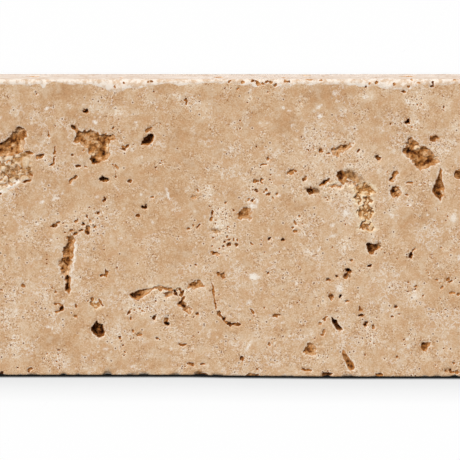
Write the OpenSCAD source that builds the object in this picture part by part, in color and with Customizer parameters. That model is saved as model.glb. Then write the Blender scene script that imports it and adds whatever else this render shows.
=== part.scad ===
// Tumbled travertine wall tile, a sawn piece of porous stone that lies on its bed, face up.
// The origin is the middle of the bed; X runs along the tile, Y across it and Z out of the face.

/* [Tile] */
// Length of the tile
tile_length = 150; // [110:1:305]
// Width of the tile
tile_width = 75; // [70:1:150]
// Thickness of the tile, from its bed to its face
tile_thickness = 10; // [8:0.5:20]

/* [Worn edges] */
// Reach of the wear across the face, from a front edge
wear_reach = 1.1; // [0.6:0.1:2]
// Depth of the wear down a side, from a front edge
wear_drop = 1; // [0.5:0.1:2]
// How far the reach strays from its mean, as a share of it
wear_stray = 0.3; // [0:0.05:0.4]
// Spacing of the sections that shape a worn edge
wear_spacing = 2.5; // [2:0.5:5]
// Bevel of the crisp edges round the bed
bed_wear = 0.3; // [0.1:0.05:0.6]
// Bevel of the four upright corners
corner_wear = 1; // [0.4:0.1:2]

/* [Pits] */
// Depth of the deepest pit in the face
deepest_pit = 3; // [1.5:0.1:4]
// Size of a pit's floor, as a share of its mouth
floor_share = 0.55; // [0.3:0.05:0.8]
// Unevenness of the pits' floors and of the small pits' rims, as a share
roughness = 0.2; // [0:0.05:0.3]
// Depth of the pits that the saw opened in the bed and the sides
sawn_pit = 1.2; // [0.5:0.1:2]

/* [Hidden] */
stone = "#CDAD8C";
over = 1;               // how far a cutting shape stands out of the stone
mouth_flare = 0.05;     // growth of a cutting shape where it stands out
shelf = [0.5, 0.9];     // share of the depth and of the mouth halfway down a pit
rim_points = 9;         // corners of a small pit's rim
brow = [0.4, 0.25];     // shares of the reach and the drop where a worn edge turns down

// Places where the wear strays most: [where along the edge, half its length, added reach]
top_edge_wear = [[-46.3, 1.5, 0.6], [-43, 3, -0.5], [-29, 6, 1.6], [-3, 6, -0.5], [6.2, 1.5, 0.8],
    [12.5, 2.5, 0.7], [22, 4, -0.2], [42, 9, 1.2], [50.2, 1.5, 0.8]];
bottom_edge_wear = [[-57.5, 2, 0.6], [-41.5, 1.5, 0.3], [-30.6, 2, 0.4], [-21.5, 2.5, 0.5],
    [-7.5, 3, 0.7], [5.5, 2, 0.3], [24.3, 1.6, 0.8], [37, 2.5, 0.3], [56, 3, 0.3]];
end_edge_wear = [[-22, 3, 0.6], [5, 4, -0.3], [19, 5, 0.9]];

// Large pits in the face: [depth as a share of the deepest, rim]. Rims are [x, y] points.
large_pits = [
    // open pit at the left, and the rubbly hollow below it
    [0.45, [[-59.6, 20.4], [-58.4, 21.3], [-56.4, 21.7], [-55, 22.8], [-53.6, 24.4], [-52.5, 25.4],
        [-51.4, 25.2], [-50.6, 24.4], [-50.8, 23.2], [-51.4, 21.6], [-51.4, 20], [-52.6, 19],
        [-54.4, 18.2], [-57, 18], [-59.2, 18.6]]],
    [0.25, [[-60, 18], [-57, 18.8], [-53, 19.2], [-49.8, 19.4], [-49.2, 17], [-48.8, 14],
        [-49.4, 12], [-52.5, 11], [-55, 9.8], [-57.6, 8.8], [-60.2, 10], [-61.4, 13], [-61, 16]]],
    // wide pit, upper left
    [0.4, [[-39, 26], [-37.7, 24.6], [-36, 24.9], [-34, 24.7], [-32.6, 23.8], [-30.5, 23.8],
        [-28.6, 22.9], [-29.9, 22.1], [-30.3, 20.2], [-30.6, 17.7], [-32.8, 16.9], [-33.8, 16.2],
        [-34.6, 17.6], [-35, 19.8], [-36.6, 21.2], [-38.8, 21.9], [-38.2, 23.4]]],
    // black pit, upper middle
    [0.85, [[-22, 21.2], [-21.7, 22.6], [-20.9, 23.2], [-19.5, 23.8], [-18.8, 23.4], [-19.1, 22.2],
        [-19.8, 21.2], [-21, 21.1]]],
    // long upright cavity in three lobes
    [0.4, [[-39.4, -1.9], [-38.7, -2.5], [-38.7, -3.4], [-38.9, -5.2], [-39.4, -7], [-40.2, -7.9],
        [-41.3, -7.3], [-41.7, -6], [-41.4, -5], [-40.6, -3.9], [-40.2, -2.7]]],
    [0.3, [[-40.6, -7.2], [-39.7, -7.7], [-39.7, -9.4], [-40.1, -11.4], [-41.2, -11.8],
        [-42, -10.8], [-42.5, -9], [-41.7, -7.7]]],
    [0.9, [[-40.6, -11.4], [-39.8, -12], [-39.9, -14], [-39.7, -15.4], [-40.1, -16.5],
        [-41, -15.9], [-40.9, -14], [-41.1, -12.2]]],
    // round black pit, lower left
    [1, [[-33.4, -23.4], [-32.7, -24.2], [-31.7, -24.4], [-31.3, -26.4], [-31.8, -27.2],
        [-32.6, -27.5], [-33.6, -27], [-34.4, -26], [-34.4, -25], [-33.9, -24.1]]],
    // slanting pit, brown pit and the end of a chain of pits
    [0.45, [[-25, -16.6], [-23.8, -16.2], [-22.8, -15.6], [-21, -15.4], [-19.6, -15.1],
        [-19.9, -16.2], [-21.6, -17.1], [-22.6, -17.8], [-24, -17.8]]],
    [0.25, [[-10.4, -14.9], [-9.6, -13.9], [-8.6, -13.5], [-7.6, -13.1], [-6.8, -13.6],
        [-6.3, -14.7], [-7.4, -14.9], [-9, -15.3]]],
    [0.35, [[-12.9, -19], [-12.2, -18.1], [-11.5, -18.4], [-10.7, -19.5], [-9.8, -20.3],
        [-9.7, -21.2], [-11, -21.3], [-12, -20.2]]],
    // shallow hollow in the middle
    [0.2, [[1.8, 3.4], [2.6, 4.4], [3.6, 5.2], [5, 5], [5.3, 4.2], [5, 3.2], [5.3, 2.6],
        [4.2, 2.7], [2.9, 2.3]]],
    // rubbly pit right of the middle, and the slot beside it
    [0.4, [[26.5, 13.5], [27, 14.4], [27.8, 14.7], [28.4, 14.1], [28.9, 12.9], [28.6, 11.5],
        [28, 11], [27.3, 11.8], [26.8, 12.7]]],
    [0.6, [[22.2, 10.9], [22.7, 11.5], [23.9, 12.1], [24.5, 12.9], [24.8, 12.5], [24.2, 11.6],
        [23.3, 11]]],
    // wide pit, upper right
    [0.4, [[44.3, 22.8], [45.6, 22.3], [47, 21.2], [48.6, 20.4], [50.2, 19.2], [52.2, 17.3],
        [51.2, 16.2], [49.8, 16], [47.4, 14.9], [46.4, 15.6], [45, 17.6], [43.5, 18.9],
        [43.3, 19.9], [43.9, 21.4]]],
    // round pit, teardrop pit and the short one above them
    [0.3, [[39.7, 9.1], [40.1, 10.1], [41.1, 10.8], [42.1, 10.4], [42.4, 9.2], [42, 8.2],
        [41, 7.8], [40.1, 8.4]]],
    [0.45, [[52, 14.6], [52.6, 14.4], [52.7, 12.4], [53.2, 10.2], [53, 8.6], [52.2, 7.3],
        [51, 8.3], [50.5, 9.4], [50.9, 11], [51.8, 12.8]]],
    [0.4, [[39.8, 12.3], [40.2, 13.5], [41.5, 14.7], [42, 14.2], [41.2, 13.2], [40.5, 12]]],
    // dark pit below the right middle
    [0.5, [[34, -3.8], [34.9, -3.7], [36.9, -4.1], [37, -4.7], [35.8, -6], [35, -6.4],
        [34.3, -5.8]]],
    // black slot and the long brown one below it
    [0.8, [[25.5, -22.6], [26.7, -23.3], [27, -24.3], [27.9, -25.5], [27.1, -25.6],
        [26.3, -24.6], [25.9, -23.6]]],
    [0.25, [[28.2, -30.8], [29, -31.7], [30.2, -33.4], [30.7, -35.4], [30, -35.6], [29.3, -33.9],
        [28.4, -32.3]]],
    // shallow round hollow and the small triangle near the lower right
    [0.2, [[19.7, -28.9], [20.8, -29.3], [21.4, -30.7], [20.9, -31.9], [19.2, -31.9],
        [18.4, -31], [18.9, -29.8]]],
    [0.35, [[47.7, -29.9], [48.2, -28.9], [50, -28.9], [49.5, -30], [49, -31.2], [48.2, -31]]],
];

// Small pits in the face: [x, y, length, width, turn, depth as a share of the deepest]
small_pits = [[-47.2, 18.2, 1.8, 1.2, 20, 0.35], [-38.9, 12.6, 2.8, 0.8, 50, 0.4],
    [-35.8, 29.6, 1.1, 0.8, 0, 0.45], [-31.3, 12.3, 2, 1.3, 5, 0.8], [-26.4, 20.3, 1.4, 0.9, 15, 0.4],
    [-20.3, 24.9, 2, 0.8, 25, 0.35], [-10.7, 32, 1.7, 0.8, 90, 0.35], [20, 9.4, 1.9, 1.5, 0, 0.65],
    [6.4, 12, 1.2, 0.9, -40, 0.4], [7.9, 12.1, 1.1, 0.9, 0, 0.4], [15.2, 14.3, 1.6, 1, 20, 0.25],
    [27, 19.3, 2.6, 1.1, 20, 0.25], [44.1, 27, 1.4, 1.2, 60, 0.75], [50.7, 22.7, 1.7, 1.5, 0, 0.25],
    [-35.4, -0.5, 2.6, 1.1, 88, 0.6], [-43.8, 0.8, 1.4, 0.8, 10, 0.35],
    [-21.4, 5.3, 1.2, 0.8, -30, 0.45], [-4, -1, 3.4, 0.9, -12, 0.2], [-3.7, -6.2, 1.4, 1.1, -20, 0.4],
    [-2.2, -11.6, 2, 1.2, -45, 0.3], [-31.1, -11.3, 1.7, 0.9, 80, 0.4], [-42.6, -20.2, 2, 1.5, 0, 0.35],
    [-15.9, -23.8, 1.6, 1.4, 30, 0.6], [25.3, -17.3, 1.6, 1.3, 90, 0.25], [29.4, -10.6, 1.3, 1.2, 0, 0.65],
    [27.5, -17.1, 0.9, 0.8, 0, 0.6], [33.7, -24.1, 1.2, 1, 45, 0.6], [32.7, -22, 1.3, 0.8, 5, 0.45],
    [45.2, -6.8, 1.8, 0.9, 88, 0.55], [23.6, -22.8, 1, 0.9, 20, 0.4]];

// Small pits towards the two ends, the same way but with x measured in from the end
left_end_pits = [[9, 29, 4.5, 2.6, 30, 0.7], [6, 9, 2.2, 1.6, 0, 0.45], [9, -9, 5.2, 2, 75, 0.6],
    [12, -25, 3.2, 2.4, 20, 0.65], [5, -30, 1.6, 1.1, 60, 0.4]];
right_end_pits = [[10, 28, 3.4, 2.2, -30, 0.65], [12, 13, 2, 1.2, 10, 0.4], [7, 2, 4.6, 2.4, 60, 0.7],
    [13, -17, 2.4, 1.8, -20, 0.55], [6, -28, 3.6, 1.4, -50, 0.45]];

// Pits opened by the saw: [x, y, length, width, turn], in the bed and in the two long sides
bed_pits = [[-52, 14, 6, 3, 20], [-27, -19, 4, 2.6, 70], [-8, 24, 2.6, 1.8, 0],
    [14, -9, 5, 2.2, -35], [33, 21, 3.4, 2.6, 40], [58, -24, 4.4, 2, 10]];
side_pits = [[-44, -0.8, 4, 1.6, 0], [3, 0.6, 2.6, 1.4, 15], [49, -0.4, 3.4, 1.8, -10]];

function total(list) = [for (item = list) 1] * list;
function middle(points) = total(points) / len(points);
function turn_area(points) = total([for (i = [0:len(points) - 1])
    cross(points[i], points[(i + 1) % len(points)])]);
function anticlockwise(points) = turn_area(points) > 0 ? points
    : [for (i = [len(points) - 1:-1:0]) points[i]];

// Two triangles for each side of the walls between rings of n points
function walls(rings, n) = [for (k = [0:rings - 2], j = [0:n - 1])
    let (a = k * n + j, b = k * n + (j + 1) % n) each [[a, b, b + n], [a, b + n, a + n]]];

// Ragged oval rim of a small pit
function oval(pit, seed) = let (stray = rands(1 - roughness, 1 + roughness, rim_points, seed))
    [for (i = [0:rim_points - 1]) let (a = 360 * i / rim_points, s = stray[i] / 2,
        u = pit[2] * s * cos(a), v = pit[3] * s * sin(a), turn = pit[4])
        [pit[0] + u * cos(turn) - v * sin(turn), pit[1] + u * sin(turn) + v * cos(turn)]];

// Cutting shape of one pit, sunk below z = 0
module pit(outline, depth) {
    rim = anticlockwise(outline);
    n = len(rim);
    hub = middle(rim);
    stray = rands(1 - roughness, 1, n, n);
    levels = [[over, 1 + mouth_flare], [-depth * shelf[0], shelf[1]], [-depth, floor_share]];
    points = [for (k = [0:2], j = [0:n - 1]) let (flat = hub + (rim[j] - hub) * levels[k][1],
        z = levels[k][0] * (k == 2 ? stray[j] : 1)) [flat.x, flat.y, z]];
    lid = [for (j = [0:n - 1]) [3 * n, (j + 1) % n, j]];
    floor_faces = [for (j = [0:n - 1]) [3 * n + 1, 2 * n + j, 2 * n + (j + 1) % n]];
    polyhedron(points = concat(points, [[hub.x, hub.y, over], [hub.x, hub.y, -depth]]),
        faces = concat(walls(3, n), lid, floor_faces));
}

module small_pit(size, depth) {
    pit(oval(size, size[0] + 2 * size[1]), depth);
}

// Added reach of the wear at a place along an edge
function added_wear(places, x) = total([for (p = places) let (t = abs(x - p[0]) / p[1])
    t < 1 ? p[2] * (1 - t * t) : 0]);

// Cutting shape of one worn front edge, which runs along X; the face lies towards +Y
module worn_edge(run, places, seed) {
    pieces = ceil(run / wear_spacing);
    step = (run + 2 * over) / pieces;
    stray = rands(1 - wear_stray, 1 + wear_stray, pieces + 1, seed);
    sections = [for (i = [0:pieces]) let (x = i * step - run / 2 - over,
        reach = max(wear_reach * stray[i] + added_wear(places, x), wear_reach / 3),
        drop = wear_drop * stray[pieces - i]) each [[x, -over, over], [x, reach, over],
        [x, reach, 0], [x, reach * brow[0], -drop * brow[1]], [x, 0, -drop], [x, -over, -drop]]];
    last = pieces * 6;
    start_cap = [for (j = [1:4]) [0, j + 1, j]];
    end_cap = [for (j = [1:4]) [last, last + j, last + j + 1]];
    polyhedron(points = sections, faces = concat(walls(pieces + 1, 6), start_cap, end_cap));
}

// Cutting shape of a plain bevel along an edge that runs along X
module bevel(run, size) {
    rotate([45, 0, 0])
        cube([run + 2 * over, size * sqrt(2), size * sqrt(2)], center = true);
}

module face_pits() {
    for (p = large_pits)
        pit(p[1], p[0] * deepest_pit);
    for (p = small_pits)
        small_pit(p, p[5] * deepest_pit);
    for (p = left_end_pits)
        translate([-tile_length / 2, 0, 0])
            small_pit(p, p[5] * deepest_pit);
    for (p = right_end_pits)
        translate([tile_length / 2, 0, 0]) mirror([1, 0, 0])
            small_pit(p, p[5] * deepest_pit);
}

module tile() {
    half = [tile_length / 2, tile_width / 2, tile_thickness];
    color(stone)
    difference() {
        translate([-half.x, -half.y, 0])
            cube([tile_length, tile_width, tile_thickness]);
        // front edges worn by tumbling
        translate([0, half.y, half.z]) mirror([0, 1, 0])
            worn_edge(tile_length, top_edge_wear, 1);
        translate([0, -half.y, half.z])
            worn_edge(tile_length, bottom_edge_wear, 2);
        translate([-half.x, 0, half.z]) rotate([0, 0, -90])
            worn_edge(tile_width, end_edge_wear, 3);
        translate([half.x, 0, half.z]) rotate([0, 0, 90])
            worn_edge(tile_width, end_edge_wear, 4);
        // crisp edges round the bed, and upright corners
        for (side = [-1, 1]) {
            translate([0, side * half.y, 0])
                bevel(tile_length, bed_wear);
            translate([side * half.x, 0, 0]) rotate([0, 0, 90])
                bevel(tile_width, bed_wear);
            for (end = [-1, 1])
                translate([end * half.x, side * half.y, half.z / 2]) rotate([0, 90, 0])
                    bevel(tile_thickness, corner_wear);
        }
        translate([0, 0, half.z])
            face_pits();
        // pits opened by the saw
        mirror([0, 0, 1])
            for (p = bed_pits)
                small_pit(p, sawn_pit);
        for (side = [0, 180])
            rotate([0, 0, side]) translate([0, -half.y, half.z / 2]) rotate([90, 0, 0])
                for (p = side_pits)
                    small_pit(p, sawn_pit);
    }
}

tile();
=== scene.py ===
import math

import bpy
import numpy as np
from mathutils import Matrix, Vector, noise


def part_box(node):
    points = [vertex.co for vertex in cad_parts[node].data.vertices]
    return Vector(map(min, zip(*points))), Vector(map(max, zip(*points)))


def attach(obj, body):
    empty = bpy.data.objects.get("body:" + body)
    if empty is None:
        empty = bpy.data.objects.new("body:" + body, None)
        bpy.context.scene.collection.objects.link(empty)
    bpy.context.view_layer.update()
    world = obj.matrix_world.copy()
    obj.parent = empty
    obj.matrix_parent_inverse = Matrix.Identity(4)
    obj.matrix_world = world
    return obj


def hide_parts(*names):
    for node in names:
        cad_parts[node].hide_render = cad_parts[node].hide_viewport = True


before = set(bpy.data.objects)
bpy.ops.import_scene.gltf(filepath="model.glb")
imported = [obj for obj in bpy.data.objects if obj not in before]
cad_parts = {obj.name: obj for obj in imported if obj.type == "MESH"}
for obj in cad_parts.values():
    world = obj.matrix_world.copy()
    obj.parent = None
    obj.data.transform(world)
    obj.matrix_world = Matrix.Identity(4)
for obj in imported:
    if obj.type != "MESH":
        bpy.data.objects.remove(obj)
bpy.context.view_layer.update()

# ------------------------------------------------------------------------------------------
# The tile: one piece of travertine, a lime stone laid down by hot springs, full of holes left
# by plants and gas. It was sawn from a block, then tumbled with grit, which wore its front
# edges round and softened the rims of its pits. It is unfilled and unpolished.

MM = 0.001
low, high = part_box("tile")
half_length, half_width, top = high.x / MM, high.y / MM, high.z / MM
HAIR = 0.01  # What lies this near to a plane is on it, in mm

# Wear of the edges and how far it strays, in mm: of the front edges, of the one along the
# bottom, of the bed's edges and of the upright ones
WEAR_REACH, WEAR_DROP, WEAR_STRAY = 1.1, 0.95, 0.3
SHARP_WEAR, SHARP_STRAY = 0.1, 0.15
BED_WEAR, BED_STRAY = 0.3, 0.12
CORNER_WEAR, CORNER_STRAY = 1.0, 0.3

# Places with more wear or less, in mm: [where along the edge, half its length, added reach]
TOP_EDGE_WEAR = [[-50, 1.2, 0.4], [-46.3, 0.8, 0.8], [-43, 3, -0.5], [-33, 2, 0.3],
    [-28.4, 4.5, 1.5], [-23, 3, 0.9], [-3, 5.5, -0.5], [6.2, 1, 0.9], [11.4, 1, 0.6], [13, 1, 0.7],
    [15.2, 0.7, 0.6], [22, 4, -0.1], [33.5, 3, 0.6], [41.5, 7, 1.3], [50.2, 1.2, 0.9],
    [57, 3, -0.2]]
BOTTOM_EDGE_WEAR = [[-57.8, 2.2, 0.95], [-52.4, 0.9, 0.3], [-41.5, 1.2, 0.7], [-38, 0.8, 0.65],
    [-30.6, 1.4, 0.75], [-21.5, 2.2, 0.8], [-13.5, 1.4, 0.65], [-7.5, 2.8, 0.8], [5.5, 1.8, 0.3],
    [13.6, 0.9, 0.4], [24.3, 1.3, 0.9], [31.2, 0.9, 0.3], [37, 2.2, 0.3], [56, 2.6, 0.4]]
END_EDGE_WEAR = [[-22, 2.6, 0.6], [5, 4, -0.3], [19, 4, 0.8]]

# Large pits in the face, in mm: [depth, darkness of the floor, where 1 is nearly black, rim];
# none of them reaches further than PIT_SPAN from its middle
PIT_SPAN = 16
LARGE_PITS = [
    [0.8, 0.62, [[-59.6, 20.2], [-58.8, 21.2], [-57.4, 21.3], [-56.2, 21.8], [-55, 22.8],
        [-54.2, 23.9], [-53, 24.8], [-52.4, 25.4], [-51.5, 25.3], [-50.6, 24.5], [-50.8, 23.2],
        [-51.2, 22], [-51.5, 21], [-51.4, 19.9], [-52.4, 19.2], [-54, 18.4], [-56, 18.6],
        [-58.4, 18]]],
    [0.6, 0.6, [[-39.6, 26.3], [-38.8, 26], [-37.8, 25], [-37.4, 24.4], [-36.8, 24.3], [-36, 24.9],
        [-35.4, 24.6], [-34.4, 24.9], [-33.8, 24.6], [-33, 23.9], [-31.8, 23.7], [-30.5, 23.8],
        [-29.5, 23.6], [-28.4, 22.9], [-29.6, 22.3], [-30.2, 21.2], [-30.2, 20], [-30.1, 18.5],
        [-30.6, 17.5], [-31.5, 17.2], [-32.9, 16.9], [-33.8, 15.9], [-34.7, 17.2], [-34.4, 18.4],
        [-35, 19], [-35, 20], [-35.8, 20.6], [-36.6, 21.2], [-37.6, 22], [-38.9, 21.7],
        [-38, 23.2], [-38.1, 24.2], [-39, 25]]],
    [2.4, 1, [[-22, 21.1], [-21.8, 22], [-21.3, 22.7], [-20.6, 23.1], [-20.2, 23.7], [-19.4, 23.8],
        [-18.8, 23.3], [-19.2, 22.6], [-19.3, 21.8], [-19.9, 21.2], [-21, 21.1]]],
    [0.8, 0.66, [[-39.2, -1.8], [-38.7, -2.4], [-38.6, -3.1], [-38.9, -4.2], [-38.9, -5.2],
        [-39.1, -6.4], [-39.5, -7.6], [-40.6, -7.9], [-41.3, -7.2], [-41.7, -6], [-41.5, -5],
        [-40.8, -4.1], [-40.2, -3.4], [-40.3, -2.7], [-40.9, -2.5], [-40.6, -2.2], [-39.8, -2.3]]],
    [0.6, 0.52, [[-40.6, -7.2], [-39.6, -7.5], [-39.5, -8.6], [-39.8, -9.4], [-39.9, -10.6],
        [-40.2, -12], [-41.2, -12.3], [-41.8, -11], [-42.2, -10], [-42.6, -8.6], [-41.8, -7.9]]],
    [2, 0.8, [[-40.8, -11.6], [-39.8, -12.1], [-39.7, -13], [-40, -14], [-39.8, -15],
        [-39.7, -15.7], [-40.1, -16.6], [-40.4, -16], [-41, -15.9], [-41, -15], [-40.8, -14],
        [-41.1, -12.6]]],
    [2.5, 1.1, [[-33.2, -23.2], [-33, -23.9], [-32.4, -24.3], [-31.7, -24.4], [-31.6, -25.3],
        [-31.3, -26.2], [-31.5, -27], [-32.1, -27.4], [-32.7, -27.6], [-33.4, -27.1],
        [-34.1, -26.4], [-34.5, -25.8], [-34.5, -25.1], [-34, -24.4], [-33.6, -23.9]]],
    [0.5, 0.84, [[-25.2, -16.6], [-24.5, -16.3], [-23.9, -16.4], [-23.4, -15.8], [-22.8, -15.5],
        [-22, -15.6], [-21.2, -15.4], [-20.2, -15.3], [-19.5, -15.2], [-19.7, -15.9],
        [-20.7, -16.7], [-21.7, -17], [-21.9, -17.5], [-22.7, -17.8], [-23.6, -17.9],
        [-24.4, -17.6], [-24.7, -17.1]]],
    [0.4, 0.62, [[-10.5, -14.8], [-10, -14.1], [-9.4, -13.7], [-8.7, -13.5], [-8.2, -13.7],
        [-7.8, -13.1], [-7.1, -13.2], [-6.6, -13.9], [-6.2, -14.9], [-6.9, -14.5], [-7.8, -14.9],
        [-8.5, -15], [-9.2, -15.3], [-9.8, -15]]],
    [0.7, 0.52, [[-13, -19], [-12.6, -18.3], [-11.8, -18], [-11.4, -18.7], [-10.8, -19.4],
        [-10.2, -20], [-9.7, -20.2], [-9.6, -21.2], [-10.2, -21.4], [-11, -21.3], [-11.5, -20.6],
        [-12.1, -20], [-12.8, -19.5]]],
    [0.4, 0.48, [[1.7, 3.4], [2.4, 4.2], [3, 4.7], [3.5, 5.2], [4.2, 5.2], [5, 5], [5.3, 4.3],
        [5, 3.7], [4.7, 3.2], [5.4, 2.8], [5.3, 2.3], [4.5, 2.7], [3.6, 2.8], [2.9, 2.2],
        [2.3, 2.6], [2.1, 3.1]]],
    [0.8, 0.74, [[26.4, 13.5], [26.7, 14.1], [27.3, 14.3], [27.7, 14.7], [28.3, 14.5],
        [28.5, 13.7], [29, 13], [28.9, 12.4], [28.7, 11.6], [28.2, 10.9], [27.6, 11.4], [27.2, 12],
        [26.8, 12.7]]],
    [0.5, 0.46, [[25.3, 20.2], [26.4, 20.3], [27.4, 20.6], [28, 21], [28.8, 21], [29.6, 21.3],
        [30.7, 21.4], [29.8, 20.6], [29.1, 20.1], [28.3, 19.7], [27.6, 19.2], [27, 18.4],
        [26.4, 18.3], [25.8, 18.8], [25.2, 19.4]]],
    [1.3, 1, [[22.1, 10.8], [22.6, 11.4], [23.3, 11.9], [24, 12.2], [24.5, 12.9], [24.8, 12.6],
        [24.3, 11.8], [23.6, 11.2], [22.8, 10.8]]],
    [0.7, 0.5, [[44.2, 22.9], [45, 22.9], [45.8, 22.1], [46.8, 21.2], [47.8, 21], [48.5, 20.4],
        [49.6, 20], [50.2, 19.2], [51, 18.3], [52.4, 17.1], [51.2, 16.3], [49.8, 16], [48.6, 15.5],
        [47.3, 14.8], [46.4, 15.6], [45.6, 16.6], [45, 17.6], [44.1, 18.1], [43.4, 18.9],
        [43.1, 19.8], [43.8, 20.4], [43.9, 21.4]]],
    [0.7, 0.56, [[39.6, 9.1], [40, 9.9], [40.5, 10.5], [41.2, 10.8], [42, 10.5], [42.4, 9.8],
        [42.5, 9], [42.2, 8.3], [41.6, 7.9], [41, 7.8], [40.4, 8.1], [40, 8.6]]],
    [1.1, 0.85, [[52.2, 15.2], [52.7, 14.6], [52.6, 13.4], [52.7, 12.4], [53, 11.4], [53.3, 10.2],
        [53.1, 9.2], [53.1, 8.4], [52.6, 7.7], [52.3, 6.9], [52, 7.6], [51.4, 7.9], [50.9, 8.4],
        [50.5, 9.2], [50.6, 10], [50.9, 10.8], [51.2, 11.7], [51.7, 12.7], [51.9, 14]]],
    [0.8, 0.68, [[39.6, 12.3], [40, 13.4], [40.6, 14.2], [41.7, 14.8], [42, 14.2], [41.3, 13.4],
        [40.9, 12.4], [40.3, 11.8]]],
    [1.4, 0.95, [[34, -3.7], [34.8, -3.7], [35.4, -4], [36.2, -4.2], [36.8, -4], [37.1, -4.6],
        [36.6, -5.3], [36, -5.8], [35.5, -6.4], [34.9, -6.3], [34.3, -5.8], [34, -5]]],
    [2.4, 1.2, [[25.3, -22.4], [26, -23.1], [26.7, -23.2], [26.8, -24], [27.3, -24.6],
        [27.8, -25.1], [28, -25.6], [27.4, -25.8], [26.7, -25.6], [26.3, -25], [26, -24.4],
        [25.6, -23.8], [25.5, -23.2]]],
    [0.6, 0.76, [[28.2, -30.7], [28.8, -31.6], [29.4, -32.3], [29.9, -33], [30.4, -33.8],
        [30.8, -34.7], [31, -35.6], [30.1, -35.9], [29.6, -35.2], [29.2, -34.3], [28.7, -33.4],
        [28.3, -32.6], [28, -31.6]]],
    [0.4, 0.62, [[19.6, -28.8], [20.6, -29.2], [21.3, -30], [21.4, -30.8], [21.2, -31.6],
        [20.6, -32], [20, -31.8], [19, -31.9], [18.3, -31.5], [18.5, -30.7], [19, -29.9]]],
    [0.8, 0.85, [[47.6, -29.9], [48, -29.1], [48.5, -28.8], [49.3, -28.9], [50, -28.9],
        [49.9, -29.5], [49.4, -29.9], [49.2, -30.6], [49, -31.2], [48.5, -31.2], [48, -30.7]]]]

# Rubbly hollows, full of lumps of stone with dirt between them, in mm: [depth, rim]; and their
# largest lumps: [x, y, length, width, turn]
RUBBLE = [
    [0.6, [[-60.4, 17.6], [-58, 18.6], [-55.6, 18.9], [-53, 19.2], [-51, 19.9], [-49.6, 19.4],
        [-49.2, 17], [-48.9, 14], [-49.6, 11.8], [-51.4, 11], [-52.6, 11.4], [-53.4, 10],
        [-55.4, 9.3], [-57.6, 8.4], [-60.2, 10], [-61.4, 13], [-61, 16]]]]
LUMPS = [[-50.9, 16.8, 2.9, 3.2, 0], [-53, 16.4, 1.1, 1, 0], [-54.5, 17.9, 2, 1.5, 20],
    [-55.4, 19.3, 1.7, 1.1, 0], [-52.7, 18.5, 1.5, 1.2, 0], [-56.4, 15.2, 2.2, 1.6, 30],
    [-54.3, 15.7, 1.7, 1, -10], [-52.2, 13.7, 2, 1.3, 20], [-51.6, 12.5, 2, 0.9, 10],
    [-56, 12.5, 1.6, 0.9, 0], [-53.9, 12.5, 1.7, 0.8, 20], [-57.6, 17.8, 1.6, 1.4, 0],
    [-57.8, 13.4, 1.4, 1, 0], [-59.4, 15.8, 2.4, 1.8, 0], [-59.3, 12.4, 2, 1.4, 0],
    [-55, 10.6, 3.4, 0.9, 20], [-52.8, 11.5, 1.6, 0.7, 10], [-57.6, 10, 2, 1, 0]]

# Honeycombed patches, eaten through by fine winding tubes, in mm: [x, y, length, width, turn,
# strength]
HONEYCOMB = [[-33.4, -18.9, 3, 2, -25, 0.85], [33.4, 9.9, 5.6, 3.2, -5, 1],
    [32, 7.4, 2.4, 2.8, 0, 1], [34.2, 7, 2.6, 2.4, 0, 1], [33.8, 4.1, 4.4, 4, 0, 1],
    [34.1, 0.8, 3.8, 2.8, -30, 1], [26.4, 10.7, 4, 1.5, 8, 0.9], [30.2, 11.4, 3, 1.4, -10, 0.9],
    [24.1, 7.8, 2.4, 1.8, 0, 0.6], [-17.2, -15.1, 5.6, 1.3, 0, 0.8],
    [-12.4, -16.8, 2.2, 4, 25, 0.8], [-24, -20.8, 5, 2, -5, 0.3], [-1.4, -3.6, 7, 4, 20, 0.35],
    [10, 9.4, 4, 3, -40, 0.3], [22.8, -29.5, 2.6, 0.7, -5, 0.5], [-28.4, 15.4, 2, 2, 0, 0.5]]

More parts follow.
